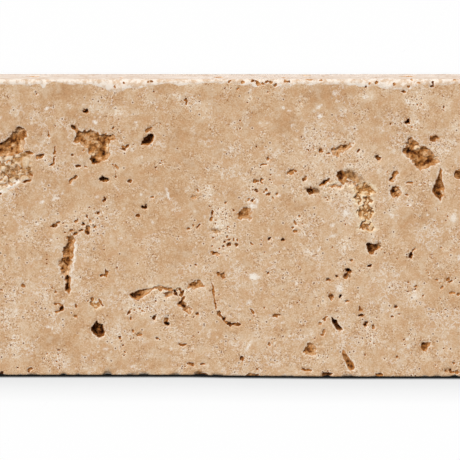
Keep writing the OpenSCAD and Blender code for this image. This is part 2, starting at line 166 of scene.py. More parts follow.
# Small pits in the face, in mm: [x, y, length, width, turn, depth, darkness]
SMALL_PITS = [[-47.2, 18.2, 1.8, 1.2, 20, 1, 0.6], [-38.6, 13, 1.6, 0.7, 45, 1.2, 0.7],
    [-39.7, 12, 1.3, 0.6, 65, 1.2, 0.7], [-35.8, 29.6, 1.1, 0.7, 0, 1.4, 0.9],
    [-31.65, 12.35, 1.3, 1.3, 0, 2, 1.05], [-30.95, 12.35, 1.3, 1.2, 0, 2, 1.05],
    [-26.6, 20.2, 1, 0.8, 0, 1.2, 0.8], [-25.6, 20.7, 1.2, 0.5, 40, 0.7, 0.6],
    [-20.3, 24.9, 2, 0.7, 25, 0.9, 0.7], [-10.7, 32, 1.7, 0.7, 90, 0.9, 0.7],
    [20, 9.4, 1.5, 1.5, 0, 1.8, 0.9], [6.4, 12, 1.2, 0.8, -50, 1.2, 0.7],
    [7.9, 12.1, 1, 0.9, 0, 1, 0.7], [15.2, 14.3, 1.6, 1, 20, 0.7, 0.5],
    [44.1, 27, 1.3, 1.2, 60, 2, 0.9], [50.7, 22.7, 1.7, 1.5, 0, 0.7, 0.5],
    [-35.4, -0.5, 2.5, 1, 88, 1.4, 0.8], [-43.9, 0.7, 1.3, 0.7, 10, 0.9, 0.8],
    [-42.8, 1.4, 0.8, 0.7, 0, 0.8, 0.7], [-21.4, 5.3, 1.1, 0.8, -30, 1.4, 0.9],
    [-4, -6.2, 1, 1, 0, 1.2, 0.8], [-3.2, -6.4, 1.1, 0.8, 0, 0.6, 0.4],
    [-2.6, -11.3, 1.2, 0.8, 75, 0.9, 0.7], [-1.8, -12.1, 1.3, 1, -60, 0.9, 0.6],
    [-30.9, -11.2, 1.7, 0.7, 85, 1.2, 0.8], [-32, -11.9, 0.9, 0.6, 50, 0.6, 0.5],
    [-42.1, -20.4, 1.3, 1.2, 0, 1.1, 1], [-43, -21, 1.4, 0.4, 10, 0.5, 0.7],
    [-43.5, -19.1, 0.7, 0.5, 20, 0.4, 0.6], [-42.3, -19.2, 1.3, 0.3, -20, 0.3, 0.5],
    [-15.8, -24.1, 1.5, 0.8, -20, 1.8, 1], [-15.8, -23.3, 1.1, 0.9, 0, 1, 0.6],
    [25.3, -17.3, 1.5, 1.2, 90, 0.6, 0.55], [29.4, -10.6, 1.1, 1.1, 0, 2, 1],
    [28.9, -12, 1.4, 0.8, 60, 0.5, 0.4], [27.5, -17.1, 0.8, 0.7, 0, 1.8, 1],
    [33.7, -24.1, 1.1, 0.9, 45, 1.5, 0.9], [32.7, -22, 1.2, 0.6, 5, 1.2, 0.9],
    [32.6, -20.7, 0.9, 0.5, 0, 1, 0.8], [32.3, -20.1, 0.9, 0.4, -70, 0.8, 0.7],
    [35.6, -24.9, 0.9, 0.6, -60, 0.9, 0.7], [45.2, -6.9, 1.6, 0.8, 88, 1.5, 0.9],
    [45.7, -5.6, 0.9, 0.7, 60, 0.4, 0.3], [23.6, -22.8, 1, 0.9, 20, 1.2, 0.8],
    [22.4, -23.9, 0.7, 0.6, 0, 0.8, 0.7], [23.4, -26.2, 1.6, 0.4, 65, 0.5, 0.5],
    [23.1, -26.8, 0.8, 0.6, 0, 0.6, 0.6], [19.2, -35.8, 2.6, 0.6, -5, 0.6, 0.5],
    [-9.7, -34.4, 1.8, 0.6, -20, 0.8, 0.7], [-6.8, -34.3, 1.2, 0.5, 0, 0.5, 0.5],
    [-8.2, -21.6, 1, 0.5, 0, 0.3, 0.3], [-19, -22.5, 1.1, 0.6, 70, 1.1, 0.9],
    [-25.3, -21.3, 1.1, 0.5, 60, 0.8, 0.6], [-24.8, -22.8, 0.8, 0.4, 80, 0.6, 0.5],
    [-27.5, -27.5, 0.7, 0.6, 0, 0.8, 0.7], [-22.6, -26.8, 1.3, 0.6, 15, 0.6, 0.6],
    [-24.2, -26, 0.8, 0.5, -60, 0.5, 0.5], [-18.2, -27.8, 0.8, 0.5, -30, 0.7, 0.7],
    [-12.3, -29.3, 0.7, 0.5, -30, 0.7, 0.7], [-11.5, -29.5, 0.9, 0.4, 20, 0.5, 0.5],
    [-12, -16.4, 1.2, 0.7, 80, 0.6, 0.6], [-11.9, -17.8, 1, 0.9, 0, 0.8, 0.7],
    [-13.9, -16, 0.8, 0.7, 0, 1.2, 0.9], [-13.4, -16.7, 0.9, 0.7, 0, 1, 0.8],
    [-12.5, -15.4, 0.7, 0.6, 0, 0.8, 0.7], [-15.7, -16.7, 1.4, 1, 30, 0.4, 0.3],
    [-17.6, -15.2, 1.4, 0.7, -10, 0.6, 0.6], [-16.4, -15.1, 1, 0.6, 0, 0.5, 0.6],
    [-14.9, -15.4, 1.1, 0.8, -20, 0.6, 0.6], [-51.5, -14.5, 1, 0.9, 60, 0.8, 0.6],
    [-43.5, -16, 0.5, 0.4, 0, 0.5, 0.6], [-38.4, -19.6, 0.7, 0.5, -60, 0.7, 0.8],
    [-38.5, -22.2, 0.7, 0.4, 0, 0.5, 0.6], [-34.4, -17.9, 0.8, 0.5, 60, 0.7, 0.7],
    [-32.1, -18.8, 1.8, 0.35, -65, 0.4, 0.6], [-36.5, 1.1, 0.8, 0.6, -30, 0.9, 0.9],
    [-38.2, 2, 1.2, 0.4, 30, 0.6, 0.6], [-38.5, -1.4, 0.9, 0.7, 0, 0.9, 0.8],
    [-39.6, -0.6, 0.7, 0.4, 20, 0.6, 0.7], [-41.1, -1, 0.5, 0.4, 0, 0.5, 0.6],
    [-35.5, 2.8, 0.7, 0.4, -70, 0.5, 0.6], [-34.9, 2, 0.7, 0.3, -50, 0.4, 0.5],
    [-33.7, 0.4, 0.5, 0.4, 30, 0.5, 0.6], [-37, -0.4, 1.1, 0.4, 20, 0.5, 0.6],
    [-32.7, 4, 0.9, 0.6, 15, 0.9, 0.8], [-31.3, 7.3, 0.9, 0.8, 60, 0.9, 0.8],
    [-35.9, 15.6, 0.8, 0.4, 0, 0.4, 0.4], [-37.8, 15.7, 1.1, 0.6, 0, 1, 0.9],
    [-24.9, 11.9, 1.1, 0.6, 15, 0.9, 0.8], [-23, 3.2, 1.2, 0.5, -10, 0.5, 0.5],
    [-19.4, 7.9, 0.9, 0.4, 25, 0.4, 0.5], [-4.4, 3.9, 1.3, 0.35, 80, 0.7, 0.7],
    [-4.7, 2.4, 1.1, 0.4, 75, 0.6, 0.6], [-10.3, -0.1, 0.8, 0.4, 0, 0.5, 0.6],
    [-9.1, 8.1, 1.4, 1, -20, 0.3, 0.35], [-8, 9.6, 0.8, 0.4, -60, 0.5, 0.5],
    [6.6, 9.6, 0.9, 0.7, 0, 0.6, 0.6], [9.1, 9.8, 0.8, 0.6, -20, 0.9, 0.8],
    [9.5, 8.6, 0.8, 0.6, 0, 0.9, 0.8], [11.7, 8.7, 0.5, 0.4, 0, 0.6, 0.7],
    [5.4, 7, 0.6, 0.5, 0, 0.7, 0.8], [4.6, 7.3, 0.7, 0.3, 80, 0.4, 0.5],
    [9.8, -2.5, 0.8, 0.6, 60, 1.3, 1], [13.1, -2.9, 0.7, 0.5, 0, 0.9, 0.9],
    [5.4, -3.8, 0.8, 0.4, -40, 0.5, 0.6], [9.5, -11.2, 0.7, 0.5, 80, 0.8, 0.8],
    [16.3, -0.7, 1, 0.5, 0, 0.5, 0.6], [16.2, 1.5, 0.9, 0.3, -75, 0.5, 0.6],
    [24.5, -13, 0.8, 0.7, 0, 0.7, 0.6], [26.5, -12, 0.6, 0.5, 0, 0.8, 0.9],
    [18.2, 12.3, 0.7, 0.6, 0, 0.7, 0.7], [18.8, 12.7, 1, 0.5, 80, 0.5, 0.4],
    [34.9, -9.4, 0.9, 0.5, 15, 0.8, 0.9], [30.2, -7.9, 0.8, 0.5, 30, 0.7, 0.8],
    [22.6, 19.7, 1, 0.8, 0, 1, 0.8], [24.5, 18.9, 0.7, 0.5, 0, 0.6, 0.6],
    [31.9, 19.6, 1, 0.4, 60, 0.6, 0.6], [36.9, 17.8, 1, 0.7, 20, 1, 0.9],
    [5.6, -21, 1.5, 0.5, -50, 0.5, 0.5], [11.5, -22, 1.6, 0.7, 15, 0.5, 0.4],
    [2.9, -32.8, 1.2, 0.9, -20, 0.5, 0.5], [9.7, -29.2, 1, 0.4, -75, 0.5, 0.5],
    [-3.8, -18.1, 4.4, 0.36, -82, 0.4, 0.7], [-4.3, -14.9, 2, 0.2, -85, 0.4, 0.6],
    [-2.9, -21.5, 1.5, 0.9, -60, 0.5, 0.55], [-1.5, -22.9, 1, 0.9, 0, 1, 1],
    [-2.2, -22.3, 1.4, 0.5, -50, 0.5, 0.7], [-0.7, -23.8, 1.6, 0.55, -35, 0.5, 0.7],
    [0, -24.3, 1.2, 0.7, -15, 0.9, 0.95], [1.1, -24.2, 1.8, 0.5, 5, 0.5, 0.65],
    [2.1, -24.2, 1.4, 0.9, 30, 0.5, 0.5], [-45.1, 23.8, 1.2, 0.22, 85, 0.4, 0.7],
    [-43.6, 19.6, 1.7, 0.26, 88, 0.4, 0.8], [-43.9, 17, 1.5, 0.22, 80, 0.4, 0.7],
    [-44.5, 16.1, 0.8, 0.28, 20, 0.4, 0.8], [-49.8, -35.5, 1.2, 0.5, 20, 0.5, 0.6],
    [-50.2, -36.2, 0.6, 0.5, 60, 0.5, 0.5], [54.3, -12.8, 0.9, 0.6, 30, 0.7, 0.7],
    [55, -13.4, 1, 0.4, 30, 0.5, 0.5], [52.9, -14.9, 0.8, 0.4, 30, 0.5, 0.6],
    [55.4, -16.3, 1.4, 0.3, 0, 0.4, 0.5], [56.9, -16.6, 0.8, 0.5, 50, 0.5, 0.5],
    [46.3, -14.7, 0.9, 0.4, 0, 0.4, 0.4], [51.6, -12.9, 0.6, 0.4, -20, 0.5, 0.6],
    [55.2, -36.1, 1.5, 0.7, 0, 0.5, 0.5], [56.7, -36.3, 0.8, 0.8, 0, 0.4, 0.4],
    [41.5, -19.9, 0.5, 0.5, 0, 0.8, 0.9], [40.5, -22.2, 0.8, 0.4, 0, 0.4, 0.5],
    [44.7, 11.6, 1.6, 0.4, 5, 0.4, 0.4], [44, 8.5, 0.6, 0.3, 10, 0.5, 0.6],
    [56.8, 13.6, 1.8, 2.4, 0, 0.6, 0.5], [33.5, 0.5, 1.8, 0.8, 20, 0.5, 0.5],
    [29.3, -18.4, 1.1, 0.4, 25, 0.4, 0.4], [-48, 33.8, 0.5, 0.4, 0, 0.3, 0.3],
    [9.4, 17.6, 0.9, 0.5, 85, 0.7, 0.8], [8.3, 16.1, 1.6, 0.3, 10, 0.4, 0.5],
    [15.6, 0.3, 0.5, 0.4, 0, 0.4, 0.5], [-7.9, 0.6, 1.2, 0.3, 60, 0.4, 0.5],
    [-9.1, 0.8, 0.6, 0.3, -40, 0.4, 0.6], [-28.7, 35.8, 0.42, 0.36, 0, 0.24, 0.6],
    [-26.4, 36.6, 0.4, 0.36, 0, 0.18, 0.5], [-20.4, 36.7, 0.5, 0.34, 30, 0.2, 0.6],
    [-19.5, 37.1, 0.6, 0.28, 0, 0.15, 0.38], [0, 37, 0.65, 0.4, 20, 0.24, 0.48],
    [3.3, 36.7, 0.72, 0.32, 0, 0.24, 0.58], [5.6, 37.2, 0.86, 0.48, 0, 0.24, 0.38],
    [6.8, 36.7, 1.3, 0.72, -30, 0.3, 0.48], [8.1, 36.5, 0.5, 0.4, 0, 0.3, 0.7],
    [9.2, 37, 1.01, 0.56, 20, 0.3, 0.58], [10.2, 36.9, 0.65, 0.56, 0, 0.3, 0.58],
    [11.3, 36.1, 0.94, 0.4, 40, 0.3, 0.67], [14.2, 37.1, 1.44, 0.4, 0, 0.18, 0.29],
    [19.6, 37.6, 1.73, 0.32, 0, 0.12, 0.38], [22.6, 37.3, 0.72, 0.24, 0, 0.12, 0.38],
    [33.7, 35.6, 0.43, 0.4, 0, 0.3, 0.7], [34.6, 36.5, 0.58, 0.4, -20, 0.24, 0.58],
    [36.4, 36.8, 0.65, 0.48, 20, 0.24, 0.48], [40.8, 36.5, 0.65, 0.72, 0, 0.18, 0.38],
    [43, 34.5, 0.9, 0.5, 0, 0.5, 0.6], [44.2, 35.8, 0.65, 0.56, 20, 0.36, 0.7],
    [50.5, 36.7, 0.43, 0.8, 0, 0.24, 0.58], [50.2, 35.8, 1, 0.5, 10, 0.6, 0.9],
    [45.2, 37.3, 0.5, 0.32, 0, 0.18, 0.38], [46.8, 36.7, 0.5, 0.4, 0, 0.18, 0.38],
    [55.7, 37.4, 0.58, 0.4, 0, 0.18, 0.48], [24.4, -37, 2.3, 0.9, 0, 0.8, 1],
    [-57.3, -36.9, 1.4, 0.8, 30, 0.6, 0.9], [5.7, -37.1, 3, 0.5, 0, 0.4, 0.5],
    [37.2, -37, 1.8, 0.6, 0, 0.4, 0.5], [-7, -36.9, 2.6, 0.6, 0, 0.5, 0.6],
    [-50, 19.1, 1.8, 0.6, -10, 0.7, 0.8], [-50.4, 12, 2.2, 0.5, 15, 0.7, 0.8],
    [-49.4, 13.5, 0.9, 0.7, -40, 0.7, 0.8], [-57.4, 8.9, 1, 0.8, 0, 0.6, 0.6]]

# The same towards the two ends
END_PITS = [[-66, 29, 4.5, 2.6, 30, 1.4, 0.5], [-69, 9, 2.2, 1.6, 0, 0.9, 0.6],
    [-66, -9, 5.2, 2, 75, 1.2, 0.5], [-63, -25, 3.2, 2.4, 20, 1.3, 0.6],
    [-70, -30, 1.6, 1.1, 60, 0.8, 0.6], [65, 28, 3.4, 2.2, 30, 1.3, 0.5],
    [63, 13, 2, 1.2, -10, 0.8, 0.6], [68, 2, 4.6, 2.4, -60, 1.4, 0.6],
    [62, -17, 2.4, 1.8, 20, 1.1, 0.5], [69, -28, 3.6, 1.4, 50, 0.9, 0.5]]

# Pits opened by the saw in the bed and in the two long sides, in mm: [x, y, length, width,
# turn]; and all of them as [axis across the face, way inwards, place of the face, pit]
SAWN_PIT = 1.2
BED_PITS = [[-52, 14, 6, 3, 20], [-27, -19, 4, 2.6, 70], [-8, 24, 2.6, 1.8, 0],
    [14, -9, 5, 2.2, -35], [33, 21, 3.4, 2.6, 40], [58, -24, 4.4, 2, 10]]
SIDE_PITS = [[-44, -0.8, 4, 1.6, 0], [3, 0.6, 2.6, 1.4, 15], [49, -0.4, 3.4, 1.8, -10],
    [-63, 1.2, 1.5, 0.9, 10], [-19, -2.1, 1.9, 1, 20], [-13, 1.4, 1.2, 0.8, 0],
    [27, 1.6, 1.4, 0.9, -15], [66, -1.7, 1.8, 1, 5]]
sawn_pits = [(2, 1, 0.0, oval) for oval in BED_PITS]
for turn in (-1, 1):
    sawn_pits += [(1, -turn, turn * half_width, [-turn * x, top / 2 + y, length, width, lean])
        for x, y, length, width, lean in SIDE_PITS]

# Pinholes, in mm: [x, y, width]
PINHOLES = [[-44.9, 23.2, 0.4], [-44.1, 21.8, 0.3], [-43.7, 20.5, 0.4], [-43.4, 19.4, 0.35],
    [-43.5, 18.2, 0.3], [-43.9, 17.3, 0.3], [-43.9, 16.3, 0.4], [-44.3, 15.9, 0.3],
    [-43.5, 25.9, 0.4], [-46.5, 14.7, 0.4], [-39.2, 18.6, 0.5], [-36.5, 19.8, 0.3],
    [-29, 25.4, 0.6], [-31.6, 35, 0.4], [-27, 22, 0.4], [-24, 20.1, 0.35], [-24.1, 21.2, 0.3],
    [-21.6, 20.2, 0.35], [-17.3, 26.3, 0.4], [-18.9, 34.3, 0.4], [-1.4, 35.3, 0.4],
    [-0.4, 35.5, 0.3], [-13.1, 20.1, 0.4], [-17.2, 16.5, 0.5], [-16.9, 17.2, 0.35],
    [-18.4, 15.4, 0.4], [-18.4, 14.7, 0.3], [-29.2, 16.2, 0.4], [-28.3, 15.7, 0.4],
    [-28.5, 14.5, 0.35], [-28.3, 13, 0.4], [1.9, 35.2, 0.4], [0.3, 35.3, 0.3], [9.3, 34.5, 0.5],
    [4.3, 31.8, 0.4], [4.8, 32.4, 0.35], [7.1, 32.5, 0.3], [17.3, 31.8, 0.4], [2.5, 27.2, 0.5],
    [2.4, 25.1, 0.4], [6.6, 20.6, 0.4], [7.6, 15.3, 0.35], [6.1, 15.5, 0.4], [16.3, 14.5, 0.5],
    [19.3, 19.9, 0.4], [20.7, 20.3, 0.4], [10.1, 13.5, 0.4], [32.5, 18, 0.5], [40, 26.3, 0.4],
    [41.9, 24.8, 0.35], [41.6, 23.7, 0.4], [39.2, 14.3, 0.35], [45.3, 25.6, 0.4],
    [46.6, 25.3, 0.4], [43.9, 24.6, 0.4], [53.1, 30.6, 0.5], [53.1, 29.9, 0.35],
    [48.3, 33.7, 0.35], [47.6, 33, 0.3], [45.1, 33, 0.35], [44.1, 32, 0.35], [47.5, 31.3, 0.35],
    [46.4, 31.3, 0.4], [49.4, 14.3, 0.4], [55.3, 15.6, 0.35], [-34.6, 8, 0.35], [-35, 5.3, 0.4],
    [-33.6, 3.9, 0.4], [-41.6, 1.5, 0.35], [-43.1, -2.6, 0.35], [-45.7, -6.5, 0.3],
    [-45.7, -7.8, 0.35], [-45.7, -8.8, 0.3], [-31.3, -5.4, 0.3], [-31.4, -4.3, 0.3],
    [-28.2, -9.8, 0.4], [-24.9, 10.7, 0.35], [-1, 6.4, 0.5], [-3.8, 10.5, 0.35], [-4.9, 5.6, 0.4],
    [-3, 4.9, 0.35], [-1.7, 4.1, 0.35], [-1, 3.4, 0.35], [-3.6, 2.1, 0.35], [-3.5, 1.3, 0.35],
    [-0.6, 0.6, 0.4], [-0.8, -0.2, 0.45], [-0.7, -2, 0.5], [-0.2, -2.8, 0.5], [-4.1, -2.2, 0.5],
    [-4.4, -4.4, 0.5], [-1.4, -3.4, 0.7], [-1.8, -4.5, 0.6], [-2.6, -5, 0.5], [0, -4, 1],
    [-0.5, -4.4, 0.6], [1.6, -4.1, 0.7], [1.9, -2.9, 0.45], [0.9, -2.8, 0.45], [-8.7, -9.2, 0.5],
    [-8.1, -6.6, 0.4], [-12.9, -2.1, 0.35], [-7.5, -13.9, 0.3], [0.8, 4.6, 0.4], [0, 3.2, 0.35],
    [9.8, 12.3, 0.4], [10.4, 11.6, 0.4], [8.5, 9.2, 0.4], [10.6, 7.8, 0.4], [6, 7.4, 0.35],
    [18.1, 1.1, 0.4], [17.3, 3.1, 0.5], [8.6, -5.9, 0.35], [7.8, -2.9, 0.35], [10.4, -3.9, 0.35],
    [12.2, -5.9, 0.35], [10.3, -6.9, 0.3], [17.1, -9.8, 0.35], [17.4, -10.2, 0.35], [24, 7.9, 0.4],
    [24.3, 7.3, 0.4], [25.6, -4.7, 0.35], [27.6, -7.7, 0.35], [28.4, 2, 0.35], [28.8, 1, 0.4],
    [48.4, 11.5, 0.4], [44.5, 7, 0.35], [44.3, 5.8, 0.35], [51.5, 5.1, 0.35], [51.5, 4.6, 0.3],
    [54.2, 3.2, 0.4], [53.9, 1.9, 0.4], [46, 3.4, 0.3], [46, 2.7, 0.3], [50.9, 1.7, 0.35],
    [52.6, -4.7, 0.4], [55, -5.4, 0.35], [41.6, -7.7, 0.35], [38.5, -6.2, 0.3], [32.3, -10.7, 0.4],
    [48.9, -10.5, 0.4], [49.5, -11.3, 0.4], [49.7, -12, 0.35], [-56.9, -15.5, 0.4],
    [-44.3, -15.1, 0.35], [-45.9, -15.6, 0.3], [-43.4, -17, 0.3], [-35.4, -18.3, 0.4],
    [-35.5, -16.6, 0.35], [-37.6, -16.1, 0.3], [-42.8, -30.8, 0.45], [-43, -31.9, 0.4],
    [-46.5, -33, 0.4], [-45.3, -33.7, 0.35], [-43.3, -33.7, 0.35], [-42.5, -34.7, 0.35],
    [-45.6, -31.7, 0.3], [-44.8, -31.6, 0.3], [-53, -35.2, 0.5], [-38, -26.5, 0.35],
    [-26.7, -29.6, 0.5], [-26.3, -31.2, 0.4], [-26.5, -32.1, 0.5], [-27.2, -28.5, 0.4],
    [-24.8, -28, 0.4], [-24.2, -27.7, 0.35], [-4.6, -26.6, 0.3], [-7.9, -26.3, 0.35],
    [-9, -27.3, 0.4], [-9.2, -28.7, 0.35], [-11.2, -35, 0.4], [-26.9, -20.6, 0.3],
    [-24.7, -20.4, 0.3], [-23.9, -20.7, 0.3], [-23.4, -21.2, 0.35], [-19.7, -20.7, 0.3],
    [-20.5, -20, 0.45], [-18.4, -18.3, 0.4], [-10.9, -16, 0.3], [-5, -15.7, 0.4],
    [-2.9, -16.6, 0.4], [-3.2, -18.3, 0.3], [-9.1, -22.4, 0.35], [6.1, -22.1, 0.4],
    [8.6, -20, 0.4], [5, -23.2, 0.4], [16.7, -18.8, 0.4], [17.2, -18.3, 0.35], [11, -19.5, 0.3],
    [12, -20.1, 0.3], [4.7, -19.3, 0.3], [10.4, -28.1, 0.4], [13.2, -27.5, 0.3],
    [11.2, -29.8, 0.35], [9.2, -30.3, 0.35], [6.9, -35.6, 0.45], [8.9, -36.2, 0.35],
    [16.1, -32.4, 0.35], [27, -22.4, 0.35], [21.2, -27.8, 0.4], [24.4, -32.6, 0.35],
    [24.4, -36.1, 0.4], [44.3, -16, 0.4], [46.2, -15.4, 0.45], [48.2, -17.1, 0.35],
    [44.5, -13.6, 0.4], [48, -13, 0.3], [52.1, -13.8, 0.4], [56.3, -12.5, 0.35],
    [52.3, -17.6, 0.35], [52.8, -21.2, 0.35], [53.8, -20.6, 0.4], [36.5, -22.7, 0.3],
    [42.2, -21.7, 0.35], [44.6, -26.7, 0.35], [43.4, -28.1, 0.4], [43.6, -29.3, 0.35],
    [46.4, -29.3, 0.35], [35.1, -27.3, 0.35], [34.5, -26.8, 0.3], [36, -27.1, 0.3],
    [35.1, -28.6, 0.35], [36, -29, 0.4], [33.8, -31.9, 0.35], [38.6, -33.1, 0.35],
    [41.6, -32.5, 0.4], [45.1, -31.5, 0.35], [53.1, -30.4, 0.35], [55.8, -34.1, 0.5],
    [53.8, -36.1, 0.5], [51.4, -34.5, 0.35]]

# 44 more small pits and pinholes at random, in the strips towards the two ends
LOWEST, HIGHEST = (58, -36, 0.3), (74, 36, 0.9)
dice = np.random.default_rng(7)
for x, y, size in dice.uniform(LOWEST, HIGHEST, (44, 3)):
    x *= dice.choice((-1, 1))
    if size < 0.65:
        PINHOLES.append([x, y, size * 0.7])
    else:
        SMALL_PITS.append([x, y, size * 1.3, size * 0.8, dice.uniform(0, 180), size, 0.7])

# Dimples of the rubble and of the honeycombed patches, in mm: [x, y, length, width, turn]
DIMPLES = [[26.2, 10.9, 1.3, 0.5, 15], [27.2, 10.5, 0.9, 0.6, 0], [25.4, 10.4, 0.7, 0.4, 20],
    [30, 11.6, 0.9, 0.5, 10], [30.9, 11.2, 0.7, 0.5, -20], [29.1, 11.9, 0.7, 0.5, 30],
    [-19, -15.1, 0.8, 0.5, 20], [-18.2, -14.9, 0.9, 0.5, -10], [-16.9, -14.8, 0.7, 0.5, 0],
    [-15.8, -15.3, 0.8, 0.4, 30], [-25.1, -21, 0.8, 0.5, 60], [-22.7, -20.4, 0.6, 0.4, 0],
    [-21.6, -20.9, 0.5, 0.4, 0], [-28.7, 16, 0.8, 0.5, 20], [-28.2, 15.4, 0.7, 0.5, -40],
    [-54.2, 11.4, 1.7, 0.5, 10], [-56, 11.2, 0.6, 0.5, 0], [-53.9, 14, 1.4, 0.7, 20],
    [-55.4, 13.3, 1, 0.6, -20], [-57.2, 12.4, 0.9, 0.6, 0], [-57.3, 16.6, 0.9, 0.7, 0],
    [-55.3, 16.9, 1, 0.5, 40], [-52.6, 15.2, 0.6, 1.4, 10]]

# Marks on the floors of the pits, in mm: [x, y, length, width, turn, deeper, darker]; lumps of
# stone that stand up from a floor, and pale spots, are negative
MARKS = [[-55.1, 20.6, 1.2, 0.9, 30, 0.3, 0.6], [-54.2, 20.1, 1, 0.8, 0, 0.3, 0.6],
    [-54.6, 21.2, 3.5, 1, 35, 0.2, 0.3], [-57.1, 21.1, 1.2, 0.8, 20, 0.3, 0.5],
    [-53.3, 24.1, 1.2, 0.8, 20, 0.1, 0.25], [-52.2, 22.6, 0.8, 1.2, 0, 0.2, 0.3],
    [-52.6, 25.4, 0.7, 0.5, 0, 0.2, 0.4], [-57, 19.8, 1.4, 0.8, 0, 0.3, 0.5],
    [-55.9, 22.2, 1.6, 0.5, 40, 0.2, 0.35], [-51.8, 21, 1.4, 2.4, -20, -0.6, -0.6],
    [-39, 25.7, 1.8, 0.9, -45, 0.6, 0.9], [-36.1, 22, 1.2, 0.9, 0, 0.3, 0.4],
    [-35.6, 24.6, 1, 0.7, 0, 0.2, 0.3], [-32.8, 22.4, 0.8, 1.2, 60, 0.2, 0.3],
    [-33.3, 21, 1, 0.9, 0, 0.3, 0.4], [-31.4, 18.7, 0.9, 1.7, 10, 0.2, 0.4],
    [-33.8, 16.9, 1.7, 1.4, 0, 1.4, 1.2], [-30.5, 20.4, 0.9, 3.4, 0, -0.5, -0.7],
    [-34.1, 18.9, 2.6, 1.4, 20, -0.6, -0.6], [-38, 23.6, 1, 2.2, 0, 0.1, 0.1],
    [-37.2, 22.6, 1.4, 0.9, 0, 0.2, 0.3], [-40.7, -5.7, 1.6, 2.4, -15, 0.3, 0.5],
    [-39.6, -4.6, 1, 1.4, 0, -0.2, 0], [-40.1, -7.3, 1.1, 0.8, 30, 0.4, 0.6],
    [-41.7, -10.4, 0.8, 1.2, 0, 0.3, 0.5], [-40.7, -9.1, 1.8, 0.4, -50, 0.2, 0.5],
    [-41.3, -8.5, 1.8, 0.4, -50, 0.2, 0.5], [-40.2, -11.2, 1.4, 1, 0, -0.7, -0.8],
    [-40.1, -16.6, 0.8, 0.8, 0, -1.6, -0.8], [-39.6, -2.2, 1.2, 0.6, 0, -0.6, -0.3],
    [45.2, 20.8, 1.4, 1.8, 0, 0.5, 0.7], [44.4, 19.4, 1.2, 1.4, 0, 0.7, 1],
    [44.8, 22.6, 0.9, 0.8, 0, 0.4, 0.5], [46.6, 20.3, 1.7, 1, 15, -0.4, -0.45],
    [47.9, 20.4, 1, 0.7, 0, -0.2, -0.4], [45.9, 18.9, 2.4, 0.6, -35, 0.4, 0.8],
    [48.6, 18.6, 1.6, 1.2, 0, -0.4, -0.4], [51.2, 17.7, 1.8, 1.4, -20, -0.3, -0.5],
    [47.3, 16.1, 2.8, 1.3, 10, 0.5, 0.8], [48.9, 16.6, 1.2, 1, 0, 0.2, 0.5],
    [52.1, 8.1, 1.5, 1.4, 0, 0.6, 0.7], [51, 9.6, 0.8, 1.6, 0, 0.4, 0.5],
    [52.9, 8.9, 0.7, 1.8, 25, -0.5, -0.8], [52.4, 13.4, 0.9, 2.2, 0, -0.5, -0.2],
    [27.4, 13.3, 1.7, 1.8, 0, 0.5, 0.7], [28.4, 12.4, 0.5, 1.8, -20, -0.3, -0.6],
    [28.1, 11.4, 1, 1, 0, -0.5, -0.3], [-24.4, -16.8, 1.4, 1.1, 0, 0.8, 0.9],
    [-23.8, -17.4, 1.2, 0.7, -20, 0.7, 0.8], [-20.4, -15.8, 1.6, 0.9, 10, -0.3, -0.5],
    [-22.3, -16.4, 2.2, 1, 10, 0, 0.2], [-23.2, -16.7, 3.2, 1.5, 12, 0, 0.25],
    [-11.5, -19.7, 1.1, 1, 30, 0.7, 0.9], [-10.2, -20.8, 1.2, 0.9, 0, -0.5, -0.5],
    [-9.5, -14.5, 1.6, 1, 30, 0.2, 0.3], [-7.1, -13.9, 1.2, 0.8, 0, 0, -0.2],
    [-32.9, -25.9, 1.3, 1.2, 0, -0.8, -0.65], [35.1, -5.6, 1.6, 0.9, 0, 0.5, 0.5],
    [36.9, -4.5, 0.9, 1, 0, -0.9, -0.8], [34.6, -4.3, 0.9, 1, 0, 0.2, 0.3],
    [30.1, -34.4, 1.1, 2, 20, 0.3, 0.4], [28.4, -31.2, 1, 1.4, 30, -0.3, -0.4],
    [4.5, 3.5, 1.2, 0.4, -10, 0.3, 0.6], [5.1, 2.6, 0.9, 0.5, -15, 0.1, 0.4],
    [2.5, 3.6, 1.4, 1.4, 0, 0.1, 0.2], [40.4, 9.3, 0.8, 1.6, -15, 0.5, 0.7],
    [41.5, 8.3, 1.2, 0.7, 10, 0.4, 0.6], [41.5, 9.7, 1.1, 0.9, 0, -0.5, -0.8],
    [39.8, 12.6, 1, 1.2, 20, 0.4, 0.7], [41.4, 14.1, 0.8, 1, 40, -0.3, -0.2],
    [28.5, 20.5, 1.3, 0.9, 30, 0.7, 1], [26.3, 19.6, 1.6, 0.8, 0, 0, 0.1],
    [19.8, -30.9, 1.2, 1, 20, 0.2, 0.3], [48.3, -29.2, 1, 0.7, 0, 0.5, 0.7],
    [48.4, -30.5, 0.8, 0.9, 0, 0.5, 0.7], [-42, -20.5, 1, 1, 0, 0.3, 0.5]]

